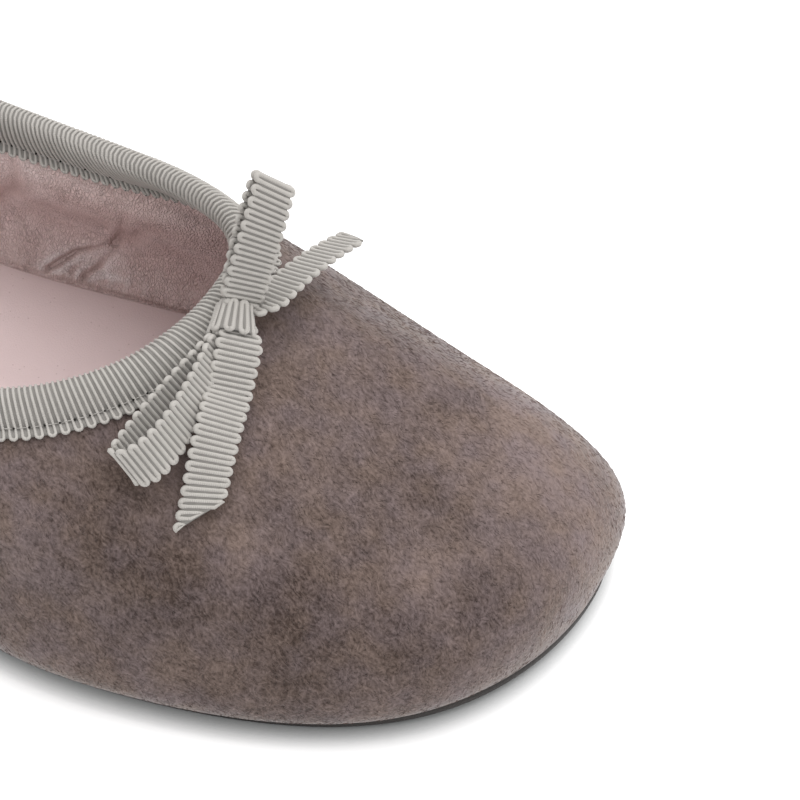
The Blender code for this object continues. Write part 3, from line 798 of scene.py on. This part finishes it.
def outlineSides(outline, stations):
    toe, heel = np.argmax(outline[:, 0]), np.argmin(outline[:, 0])
    outerSide = np.roll(outline, -heel, 0)[:(toe - heel) % len(outline) + 1]
    innerSide = np.roll(outline, -toe, 0)[:(heel - toe) % len(outline) + 1][::-1]
    turn = math.pi * (np.arange(stations) + 0.5) / stations
    along = outline[heel, 0] + (outline[toe, 0] - outline[heel, 0]) * (1.0 - np.cos(turn)) / 2.0
    left, right = (np.interp(along, side[:, 0], side[:, 1]) for side in (outerSide, innerSide))
    return along, left[:, None], right[:, None]


def plate(name, outline, low, thick, edge, crown, finish):
    s = soleSettings
    along, left, right = outlineSides(outline, s["stations"])
    share = (1.0 - np.cos(np.linspace(0.0, math.pi, s["acrossPoints"]))) / 2.0
    width = right - left
    bevel = np.minimum(edge, s["bevelShare"] * width)
    across = left + bevel + share[None, :] * (width - 2.0 * bevel)
    base = (soleRise(along) + low)[:, None]
    arch = crown * np.sin(math.pi * share)[None, :] ** s["crownRound"]

    def strip(place, height):
        return np.stack(np.broadcast_arrays(along[:, None], place, height), axis=2)

    sideUp = base + thick - crown - bevel
    ring = np.concatenate([strip(across, base), strip(right, base + bevel), strip(right, sideUp),
                           strip(across, base + thick - crown + arch)[:, ::-1], strip(left, sideUp),
                           strip(left, base + bevel)], axis=1)
    return closedTube(name, ring, finish, True)


def makeSoles():
    s = soleSettings
    feather = upperOuter[:, 0, :2]
    outline = feather - s["soleProud"] * planInward(feather)
    sole = plate("leather_sole", outline, 0.0, last["outsole"], s["soleEdge"], 0.0, soleLeather)
    addPiece(sole, "sole_leather", "outsole")
    seat = last["outsole"] + last["play"]
    edge = np.zeros((len(liningInner), 2))
    for i, line in enumerate(liningInner[:, :s["sockSteps"]]):    # it reaches the lining at its own height
        height = soleRise(line[0, 0]) + seat + last["insole"] - s["sockCrown"]
        edge[i] = [np.interp(height, line[:, 2], line[:, axis]) for axis in (0, 1)]
    edge = edge + s["sockGap"] * planInward(edge)
    sock = plate("sock", edge, seat, last["insole"], s["sockEdge"], s["sockCrown"], sockLeather)
    addPiece(sock, "sock_leather", "insole")


makeSoles()


# Grosgrain: each ring of yarn is two ribs joined by a picot at either edge of the ribbon
weaveSizes = {"Rib Step": "ribStep", "Yarn Radius": "yarn", "Picot Reach": "picot",
              "Ground Top": "groundTop", "Ground Depth": "groundDepth", "Ring Fill": "ringFill"}
ringSettings = {
    "endRound": 0.499,       # these three are shares of the gap between ribs
    "beadFrom": 0.85,
    "beadTo": 1.5,
    "endPoints": 3,
    "weld": 0.000002,
}


def makeGrosgrainTree():
    s = ringSettings
    sizes = dict.fromkeys(["Ring Pitch", "Rib Gap", "Ribbon Width", "Picot Bead", *weaveSizes], "Float")
    sockets = {"Rings": "Int", "Yarn Sides": "Int", **sizes, "Yarn": "Material", "Ground": "Material"}
    b, given, result = newTree("grosgrain", sockets)
    gap, pitch = given["Rib Gap"], given["Ring Pitch"]
    middle = b.times(given["Ribbon Width"], 0.5)
    height = b.minus(given["Ribbon Width"], b.times(given["Yarn Radius"], 2.0))
    oblong = b.add("CurvePrimitiveQuadrilateral", {"Width": gap, "Height": height})
    rounded = b.add("FilletCurve", {"Curve": oblong, "Radius": b.times(gap, s["endRound"]),
                    "Count": s["endPoints"], "Limit Radius": True}, mode="POLY")
    here = b.add("InputPosition")
    onward = {"Point Index": b.add("InputIndex"), "Offset": 1}
    after = b.node("OffsetPointInCurve", onward).outputs["Point Index"]
    ahead = b.add("FieldAtIndex", {"Index": after, "Value": here}, data_type="FLOAT_VECTOR")
    span = b.node("VectorMath", {0: ahead, 1: here}, operation="DISTANCE").outputs["Value"]
    cuts = b.maths("FLOOR", b.maths("DIVIDE", span, given["Rib Step"]))    # only the straight sides are long
    ring = b.add("SubdivideCurve", {"Curve": rounded, "Cuts": cuts})
    start = b.combine(b.times(pitch, 0.5), middle)
    row = b.add("MeshLine", {"Count": given["Rings"], "Start Location": start, "Offset": b.combine(pitch)})
    flat, kept = b.stored("flat", "FLOAT_VECTOR"), b.stored("flatPlace", "FLOAT_VECTOR")
    found = b.node("SampleUVSurface", {"Mesh": given["Geometry"], "Value": here, "UV Map": flat,
                   "Sample UV": kept}, data_type="FLOAT_VECTOR").outputs
    missing = b.add("BooleanMath", {0: found["Is Valid"]}, operation="NOT")

    def layDown(shape):    # a row of the flat shape, taken to its place on the shoe
        lined = b.real(b.add("InstanceOnPoints", {"Points": row, "Instance": shape}))
        marked = b.add("StoreNamedAttribute", {"Geometry": lined, "Name": "flatPlace", "Value": here},
                       data_type="FLOAT_VECTOR", domain="POINT")
        trimmed = b.add("DeleteGeometry", {"Geometry": marked, "Selection": missing}, domain="POINT")
        return b.add("SetPosition", {"Geometry": trimmed, "Position": found["Value"]})

    profile = b.add("CurvePrimitiveCircle", {"Resolution": given["Yarn Sides"],
                    "Radius": given["Yarn Radius"]})
    rim = b.minus(middle, b.maths("ABSOLUTE", b.minus(b.across(kept), middle)))
    beadFrom, beadTo = b.times(gap, s["beadFrom"]), b.times(gap, s["beadTo"])
    bead = b.spread(rim, beadFrom, beadTo, given["Picot Bead"], 1.0)
    ribs = b.add("CurveToMesh", {"Curve": layDown(ring), "Profile Curve": profile, "Scale": bead,
                 "Fill Caps": True})
    ribs = b.dressed(b.real(b.add("SetShadeSmooth", {"Geometry": ribs})), given["Yarn"])

    aside = b.maths("ABSOLUTE", b.minus(b.across(flat), middle))
    edge = b.maths("GREATER_THAN", aside, b.minus(middle, given["Picot Reach"]))
    strip = b.add("DeleteGeometry", {"Geometry": given["Geometry"], "Selection": edge}, domain="FACE")
    normal = b.add("InputNormal")
    filling = layDown(b.add("FillCurve", {"Curve": ring}, mode="TRIANGLES"))
    inRings = b.add("SetPosition", {"Geometry": filling, "Offset": b.scaled(normal, given["Ring Fill"])})
    sink = b.scaled(normal, b.minus(given["Ground Top"], given["Ground Depth"]))
    low = b.add("SetPosition", {"Geometry": b.join(strip, inRings), "Offset": sink})
    slab = b.add("ExtrudeMesh", {"Mesh": low, "Offset Scale": given["Ground Depth"], "Individual": False})
    cloth = b.join(slab, b.add("FlipFaces", {"Mesh": low}))
    cloth = b.add("MergeByDistance", {"Geometry": cloth, "Distance": s["weld"]})
    # the cloth under the ribs takes the darker ground finish, painted shade in the grooves
    b.feed(result["Geometry"], b.join(ribs, b.dressed(cloth, given["Ground"])))
    return b.tree


grosgrainTree = makeGrosgrainTree()


def makeRibbon(name, surface, flatPlaces, weave, node):    # both grids are (station, point, axis), in mm
    mesh = meshFrom(name + "_cloth", surface.reshape(-1, 3), gridFaces(*surface.shape[:2]), groundShade)
    unrolled = mesh.uv_layers.new(name="flat")
    corner = np.zeros(len(mesh.loops), int)
    mesh.loops.foreach_get("vertex_index", corner)
    unrolled.data.foreach_set("uv", (flatPlaces.reshape(-1, 2)[corner] * mm).astype(np.float32).ravel())
    length, width = flatPlaces[..., 0].max(), flatPlaces[..., 1].max()
    rings = int(round(length / weave["ringPitch"]))
    pitch = length / rings
    values = {label: weave[key] * mm for label, key in weaveSizes.items()}
    values.update({"Rings": rings, "Ring Pitch": pitch * mm, "Rib Gap": 0.5 * pitch * mm,
                   "Ribbon Width": width * mm, "Yarn Sides": weave["yarnSides"],
                   "Picot Bead": weave["picotBead"], "Yarn": yarn, "Ground": groundShade})
    addPiece(growTree(mesh, grosgrainTree, values, name), "grosgrain", node)


# Ribbon folded over the collar edge. Its legs are drop below the edge and lift off the wall, at mid yarn.
collarSettings = {
    "stations": 200,
    "steps": 60,
    "acrossPoints": 24,
    "leg": ((7.3, 0.8), (6.3, 0.6), (5.3, 0.25), (4.3, 0.8), (2.6, 1.15), (1.0, 1.2)),
    "crown": ((1.55, 0.5), (0.0, 1.1)),      # out from the edge's middle, above the edge
    "drawnIn": 0.38,                         # share of the outer hem's depth, beside the bow
    "drawnAt": 8.95,
    "drawnWide": 0.55,
    "stitchDrop": 5.3,
    "stitchLift": 0.475,
    "stitchPitch": 2.25,
    "stitchLength": 1.9,
    "stitchThick": 0.18,
    "holeShade": 0.38,
}
collarWeave = {
    "ringPitch": 1.63,
    "ribStep": 1.25,
    "yarn": 0.25,
    "yarnSides": 5,
    "picot": 0.9,
    "groundTop": -0.08,
    "groundDepth": 0.3,
    "ringFill": 0.04,
    "picotBead": 1.1,
}


def collarSurface():
    s = collarSettings
    places = np.arange(s["stations"]) * len(sections) / s["stations"]
    skin, normals = upperSkin(places, s["steps"])
    lining = skin - last["wall"] * normals
    rim = 0.5 * (skin[:, -1] + lining[:, -1])
    rise, out = unit(skin[:, -1] - skin[:, -2]), normals[:, -1]
    drawn = 1.0 - s["drawnIn"] * np.exp(-((places - s["drawnAt"]) / s["drawnWide"]) ** 2)

    def leg(side, drop, lift):
        place, face = downTheWall(skin if side > 0 else lining, normals, drop * drawn if side > 0 else drop)
        return place + side * lift * face

    def over(spread, height):
        return rim + spread * out + height * rise

    outer = [leg(1, *fold) for fold in s["leg"]]
    inner = [leg(-1, *fold) for fold in reversed(s["leg"])]
    (spread, shoulder), (level, top) = s["crown"]
    crown = [over(spread, shoulder), over(level, top), over(-spread, shoulder)]
    path = np.stack(outer + crown + inner, axis=1)
    surface = openSpline(path, np.linspace(0.0, path.shape[1] - 1.0, s["acrossPoints"]))
    return np.concatenate([surface, surface[:1]]), leg


def makeStitchTree():
    sockets = {"Stitches": "Int", "Length": "Float", "Thick": "Float", "Hole": "Float", "Thread": "Material",
               "Needle Hole Shade": "Material"}
    b, given, result = newTree("stitches", sockets)
    line = b.add("MeshToCurve", {"Mesh": given["Geometry"]})
    twice = b.times(given["Stitches"], 2.0)    # a stitch and a painted shade dot for a needle hole by turns
    spots = b.node("CurveToPoints", {"Curve": line, "Count": twice}, mode="COUNT").outputs
    odd = b.maths("MODULO", b.add("InputIndex"), 2.0)
    bead = b.add("MeshIcoSphere", {"Radius": 0.5, "Subdivisions": 2})
    run = b.add("AlignRotationToVector", {"Vector": spots["Tangent"]}, axis="X")
    stitch = b.combine(given["Length"], given["Thick"], given["Thick"])
    hole = b.combine(given["Hole"], given["Hole"], given["Hole"])
    sewn = []
    for choice, size, finish in ((b.minus(1.0, odd), stitch, "Thread"), (odd, hole, "Needle Hole Shade")):
        placed = b.add("InstanceOnPoints", {"Points": spots["Points"], "Selection": choice, "Instance": bead,
                       "Rotation": run, "Scale": size})
        smooth = b.add("SetShadeSmooth", {"Geometry": b.real(placed)})
        sewn.append(b.dressed(smooth, given[finish]))
    b.feed(result["Geometry"], b.join(*sewn))
    return b.tree


def makeCollar():
    s = collarSettings
    surface, leg = collarSurface()
    along = pathLength(surface[:, s["acrossPoints"] // 2])
    across = np.mean([pathLength(line) for line in surface], axis=0)
    flatPlaces = np.stack(np.meshgrid(along, across, indexing="ij"), axis=2)
    makeRibbon("collar_ribbon", surface, flatPlaces, collarWeave, "topline_binding")
    stitchTree = makeStitchTree()
    values = {"Length": s["stitchLength"] * mm, "Thick": s["stitchThick"] * mm, "Hole": s["holeShade"] * mm,
              "Thread": thread, "Needle Hole Shade": holeShade}
    for name, side in (("collar_stitches_outer", 1), ("collar_stitches_inner", -1)):
        line = leg(side, s["stitchDrop"], s["stitchLift"])
        count = int(round(pathLength(np.concatenate([line, line[:1]]))[-1] / s["stitchPitch"]))
        seam = bpy.data.meshes.new(name + "_line")
        seam.from_pydata(toFrame(line).tolist(), [(i, (i + 1) % len(line)) for i in range(len(line))], [])
        addPiece(growTree(seam, stitchTree, {"Stitches": count, **values}, name), "grosgrain")


makeCollar()


# The bow, in mm forward, inward and up from the knot's seat
bowSettings = {
    "section": 8.2,
    "turn": 22.0,
    "drop": 5.2,
    "seatLift": 2.19,
    "ribbonWidth": 7.3,
    "ribbonRest": 0.8,
    "loopOpen": 0.6,
    "loopStations": 80,
    "tailStations": 14,
    "tailRows": 60,
    "acrossPoints": 13,
    "core": (0.0, 0.0, 1.8),        # where the ribbons meet inside the knot
    "tuck": 0.75,
    "tuckNarrow": 0.6,
    "loops": (
        {"node": "bow_loop_medial", "root": (-0.4, 2.2, 3.2), "tip": (-0.6, 15.6, 17.0),
         "rootAxis": (1.0, 0.1, -0.2), "tipAxis": (0.94, -0.03, -0.33), "swellAxis": (0.1, -0.8, 0.55),
         "round": 1.0, "belly": 1.3, "backBelly": 1.1, "droop": 0.0, "sway": -0.3, "backSway": -0.6,
         "pinch": 0.95, "gather": 0.2},
        {"node": "bow_loop_lateral", "root": (-3.8, -5.2, 1.4), "tip": (-14.0, -25.4, 1.6),
         "rootAxis": (0.85, -0.3, -0.6), "tipAxis": (0.75, -0.5, -0.42), "swellAxis": (0.6, -0.1, 0.8),
         "round": 1.4, "belly": 2.0, "backBelly": 2.2, "droop": 4.0, "sway": 2.0, "backSway": 0.9,
         "pinch": 0.45, "gather": 1.2},
    ),
    "tails": (
        {"node": "bow_tail_medial", "root": (4.0, 3.2, 2.0), "tip": (17.6, 17.9, 1.2),
         "bend": (-0.4, 0.8, 0.2), "rootLean": 45.0, "tipLean": 52.0, "arch": (0.0, 0.0), "cut": 1.6},
        {"node": "bow_tail_lateral", "root": (0.0, -4.6, 3.0), "tip": (-0.6, -33.8, -9.0),
         "bend": (0.0, 0.0, 0.0), "rootLean": 0.0, "tipLean": -6.0, "arch": (3.6, 1.4), "cut": 5.0},
    ),
}
bowWeave = {
    "ringPitch": 1.8,
    "ribStep": 0.9,
    "yarn": 0.33,
    "yarnSides": 6,
    "picot": 0.6,
    "groundTop": 0.12,
    "groundDepth": 0.24,
    "ringFill": 0.02,
    "picotBead": 1.3,
}
knotSettings = {
    "outerEnd": -3.65,
    "innerEnd": 1.9,
    "outerWidth": 7.0,
    "innerWidth": 4.7,
    "forward": -0.9,
    "height": 3.9,
    "foot": -0.3,
    "squareness": 0.55,
    "stations": 40,
    "acrossPoints": 15,
    "coreShare": 0.86,       # of the band's width and height
    "coreEnd": 0.3,
    "coreFoot": -1.3,
    "coreSquareness": 0.7,
    "coreRings": 9,
    "corePoints": 24,
}
knotWeave = {**bowWeave, "ringPitch": 1.9, "yarn": 0.36, "picot": 0.4, "picotBead": 1.15}


def bowSeat():
    s = bowSettings
    place, face = downTheWall(cadSkin, cadNormals, s["drop"])
    station = s["section"] * len(cadSkin) / len(sections)
    near = int(station)
    share = station - near
    up = unit((1 - share) * face[near] + share * face[near + 1])
    origin = (1 - share) * place[near] + share * place[near + 1] + s["seatLift"] * up
    turn = math.radians(s["turn"])
    inward = unit(np.cross(up, (math.cos(turn), math.sin(turn), 0.0)))
    return origin, np.array([np.cross(inward, up), inward, up])


seatOrigin, seatAxes = bowSeat()


def bowPoint(local):
    return seatOrigin + np.asarray(local, float) @ seatAxes


def loopEdges(loop):
    s = bowSettings
    root = bowPoint(loop["root"])
    reach = bowPoint(loop["tip"]) - root
    turn = np.linspace(s["loopOpen"], 2.0 * math.pi - s["loopOpen"], s["loopStations"])
    out = np.sin(turn / 2.0) ** 2
    out = (out - out[0]) / (1.0 - out[0])
    twist = ease(0.0, 1.0, out)[:, None]
    rootAxis, tipAxis, swell = (unit(np.array(loop[key])) for key in ("rootAxis", "tipAxis", "swellAxis"))
    across = unit((1.0 - twist) * rootAxis + twist * tipAxis) @ seatAxes
    rise = np.sin(turn) * np.sin(turn / 2.0) ** loop["round"]
    front, behind = (rise / rise.max()).clip(0.0, 1.0), (-rise / rise.max()).clip(0.0, 1.0)
    lift = loop["belly"] * front - loop["backBelly"] * behind
    sway = loop["sway"] * front + loop["backSway"] * behind
    middle = root + out[:, None] * reach + lift[:, None] * (swell @ seatAxes) + sway[:, None] * across
    middle = middle - loop["droop"] * out[:, None] ** 2 * seatAxes[2]
    opened = np.sin(0.5 * math.pi * np.clip(out / loop["gather"], 0.0, 1.0))
    gather = loop["pinch"] + (1.0 - loop["pinch"]) * opened
    half = 0.5 * s["ribbonWidth"] * gather[:, None] * across
    return middle - half, middle + half


def groundHeight():
    trees = []
    for node in ("upper", "topline_binding"):
        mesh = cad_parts[node].data
        corners, faces = [v.co for v in mesh.vertices], [p.vertices for p in mesh.polygons]
        trees.append(BVHTree.FromPolygons(corners, faces))

    def height(point):
        start = Vector(toFrame((point[0], point[1], 2.0 * last["throatHeight"])))
        hits = [tree.ray_cast(start, Vector((0, 0, -1)))[0] for tree in trees]
        return max([hit.z / mm for hit in hits if hit], default=0.0)

    return height


vampHeight = groundHeight()


def tailEdges(tail):
    s = bowSettings
    root, tip = bowPoint(tail["root"]), bowPoint(tail["tip"])
    reach = tip - root
    flat = unit(seatAxes[0] - reach * (seatAxes[0] @ reach) / (reach @ reach))
    raised = np.cross(reach, flat) / np.linalg.norm(reach)
    raised = -raised if raised[2] < 0.0 else raised
    share = np.linspace(0.0, 1.0, s["tailStations"])[:, None]
    lean = np.radians(tail["rootLean"] + (tail["tipLean"] - tail["rootLean"]) * share)
    half = 0.5 * s["ribbonWidth"] * (np.cos(lean) * flat + np.sin(lean) * raised)
    middle = root + share * reach + 4.0 * share * (1.0 - share) * (np.array(tail["bend"]) @ seatAxes)
    edges = []
    for edge, arch in zip((middle - half, middle + half), tail["arch"]):    # both stay above the vamp
        floor = np.pad([vampHeight(point) for point in edge], 1, mode="edge")
        floor = np.maximum(np.maximum(floor[:-2], floor[1:-1]), floor[2:])
        rest = floor + s["ribbonRest"] + arch * np.sin(math.pi * share[:, 0]) ** 2
        edge[:, 2] = np.maximum(edge[:, 2], rest)
        edges.append(openSpline(edge[None], np.linspace(0.0, len(edge) - 1.0, s["tailRows"]))[0])
    return edges


def tuckIn(rear, front, both):    # the ribbon runs on into the knot
    s = bowSettings
    core = bowPoint(s["core"])

    def inside(a, b):
        middle = 0.5 * (a + b)
        aim = middle + s["tuck"] * (core - middle)
        return aim + s["tuckNarrow"] * (a - middle), aim + s["tuckNarrow"] * (b - middle)

    start = inside(rear[0], front[0])
    rear, front = np.vstack([start[0], rear]), np.vstack([start[1], front])
    if both:
        end = inside(rear[-1], front[-1])
        rear, front = np.vstack([rear, end[0]]), np.vstack([front, end[1]])
    return rear, front


def layRibbon(node, rear, front, cut=0.0):    # between its two edges, with a slanting end
    s = bowSettings
    along = pathLength(0.5 * (rear + front))
    share = np.linspace(0.0, 1.0, s["acrossPoints"])
    rows = np.linspace(0.0, 1.0, len(rear))[:, None] * (along[-1] - cut * share)[None, :]
    surface = np.zeros(rows.shape + (3,))
    for k, t in enumerate(share):
        edge = (1.0 - t) * rear + t * front
        for axis in range(3):
            surface[:, k, axis] = np.interp(rows[:, k], along, edge[:, axis])
    flatPlaces = np.stack(np.broadcast_arrays(rows, share * s["ribbonWidth"]), axis=2)
    makeRibbon(node + "_ribbon", surface, flatPlaces, bowWeave, node)


def squaredRound(turn, squareness):    # a circle drawn out towards a square
    side, lift = np.cos(turn), np.sin(turn)
    return np.sign(side) * np.abs(side) ** squareness, np.sign(lift) * np.abs(lift) ** squareness


def knotRing(t, side, rise, share=1.0, inset=0.0):    # t runs from the outer end to the inner
    k = knotSettings
    wide = share * (k["outerWidth"] + (k["innerWidth"] - k["outerWidth"]) * t)
    place = k["outerEnd"] + inset + (k["innerEnd"] - k["outerEnd"] - 2.0 * inset) * t
    return bowPoint(np.column_stack([k["forward"] + 0.5 * wide * side, np.full(len(side), place), rise]))


def makeKnot():
    k = knotSettings
    side, lift = squaredRound(np.linspace(math.pi, 0.0, k["stations"]), k["squareness"])
    share = np.linspace(0.0, 1.0, k["acrossPoints"])
    surface = np.stack([knotRing(t, side, k["height"] * lift + k["foot"]) for t in share], axis=1)
    along = pathLength(surface[:, k["acrossPoints"] // 2])
    flatPlaces = np.stack(np.meshgrid(along, share * (k["innerEnd"] - k["outerEnd"]), indexing="ij"), axis=2)
    makeRibbon("knot_band", surface, flatPlaces, knotWeave, "bow_knot")
    # a core under the band, in the darker ground finish: painted shade seen through the slits
    turn = np.linspace(0.0, 2.0 * math.pi, k["corePoints"], endpoint=False)
    side, lift = squaredRound(turn, k["coreSquareness"])
    top = k["coreShare"] * k["height"] + k["foot"]
    rise = np.where(lift > 0.0, top * lift, -k["coreFoot"] * lift)
    places = np.linspace(0.0, 1.0, k["coreRings"])
    rings = [knotRing(t, side, rise, k["coreShare"], k["coreEnd"]) for t in places]
    addPiece(closedTube("knot_core", np.array(rings), groundShade), "grosgrain")


makeKnot()
for loop in bowSettings["loops"]:
    layRibbon(loop["node"], *tuckIn(*loopEdges(loop), True))
for tail in bowSettings["tails"]:
    layRibbon(tail["node"], *tuckIn(*tailEdges(tail), False), tail["cut"])


# Floor, light and camera
stageSettings = {
    "floorSize": 6.0,
    "floorGlow": 0.3,
    "floorShade": (0.2, 0.21, 0.21, 1),
    "floorWhite": (0.95, 0.95, 0.95, 1),
    "contactReach": 0.0045,    # how far the dark line under the shoe spreads
    "contactShade": 0.3,
    "skyStrength": 0.84,
    "lamps": (("key_light", (0.1, 0.38, 1.1), 11.0, 1.1), ("fill_light", (0.45, -0.75, 0.75), 0.8, 1.0)),
    "aim": (0.06, 0.0, 0.02),
    "cameraPlace": (255.524, -148.144, 264.682),
    "cameraRight": (0.90838, 0.41084, 0.07784),
    "cameraUp": (-0.37677, 0.72342, 0.57854),
    "lens": 82.1,
    "sensor": 36.0,
}


def makeFloor():
    s = stageSettings
    half = s["floorSize"] / 2.0
    mesh = bpy.data.meshes.new("floor")
    corners = [(-half, -half, 0), (half, -half, 0), (half, half, 0), (-half, half, 0)]
    mesh.from_pydata(corners, [], [(0, 1, 2, 3)])
    material, b, sockets = newFinish("white_floor", 0.9, 0.0)
    nearby = b.node("AmbientOcclusion", {"Distance": s["contactReach"]}, samples=6).outputs["AO"]
    clear = b.spread(nearby, s["contactShade"], 1.0)
    b.feed(sockets["Base Color"], b.blend(clear, s["floorShade"], s["floorWhite"]))
    sockets["Emission Color"].default_value = (1, 1, 1, 1)
    b.feed(sockets["Emission Strength"], b.times(clear, s["floorGlow"]))
    mesh.materials.append(material)
    floor = bpy.data.objects.new("floor", mesh)
    bpy.context.scene.collection.objects.link(floor)


def makeLamp(name, place, power, size):
    lamp = bpy.data.lights.new(name, "AREA")
    lamp.energy, lamp.size, lamp.shape = power, size, "SQUARE"
    holder = bpy.data.objects.new(name, lamp)
    holder.location = place
    aim = Vector(stageSettings["aim"]) - Vector(place)
    holder.rotation_euler = aim.to_track_quat("-Z", "Y").to_euler()
    bpy.context.scene.collection.objects.link(holder)


def makeCamera():
    s = stageSettings
    right, up = Vector(s["cameraRight"]), Vector(s["cameraUp"])
    lens = bpy.data.cameras.new("camera")
    lens.lens, lens.sensor_width = s["lens"], s["sensor"]
    lens.clip_start, lens.clip_end = 0.01, 20.0
    camera = bpy.data.objects.new("camera", lens)
    turn = Matrix((right, up, right.cross(up))).transposed().to_4x4()
    camera.matrix_world = Matrix.Translation(toFrame(s["cameraPlace"])) @ turn
    bpy.context.scene.collection.objects.link(camera)
    bpy.context.scene.camera = camera


def makeStage():
    s = stageSettings
    makeFloor()
    for lamp in s["lamps"]:
        makeLamp(*lamp)
    world = bpy.data.worlds.new("studio")
    world.use_nodes = True
    sky = world.node_tree.nodes["Background"].inputs
    sky["Color"].default_value = (1, 1, 1, 1)
    sky["Strength"].default_value = s["skyStrength"]
    bpy.context.scene.world = world
    bpy.context.scene.view_settings.view_transform = "Standard"
    makeCamera()
    print("stage set")


makeStage()
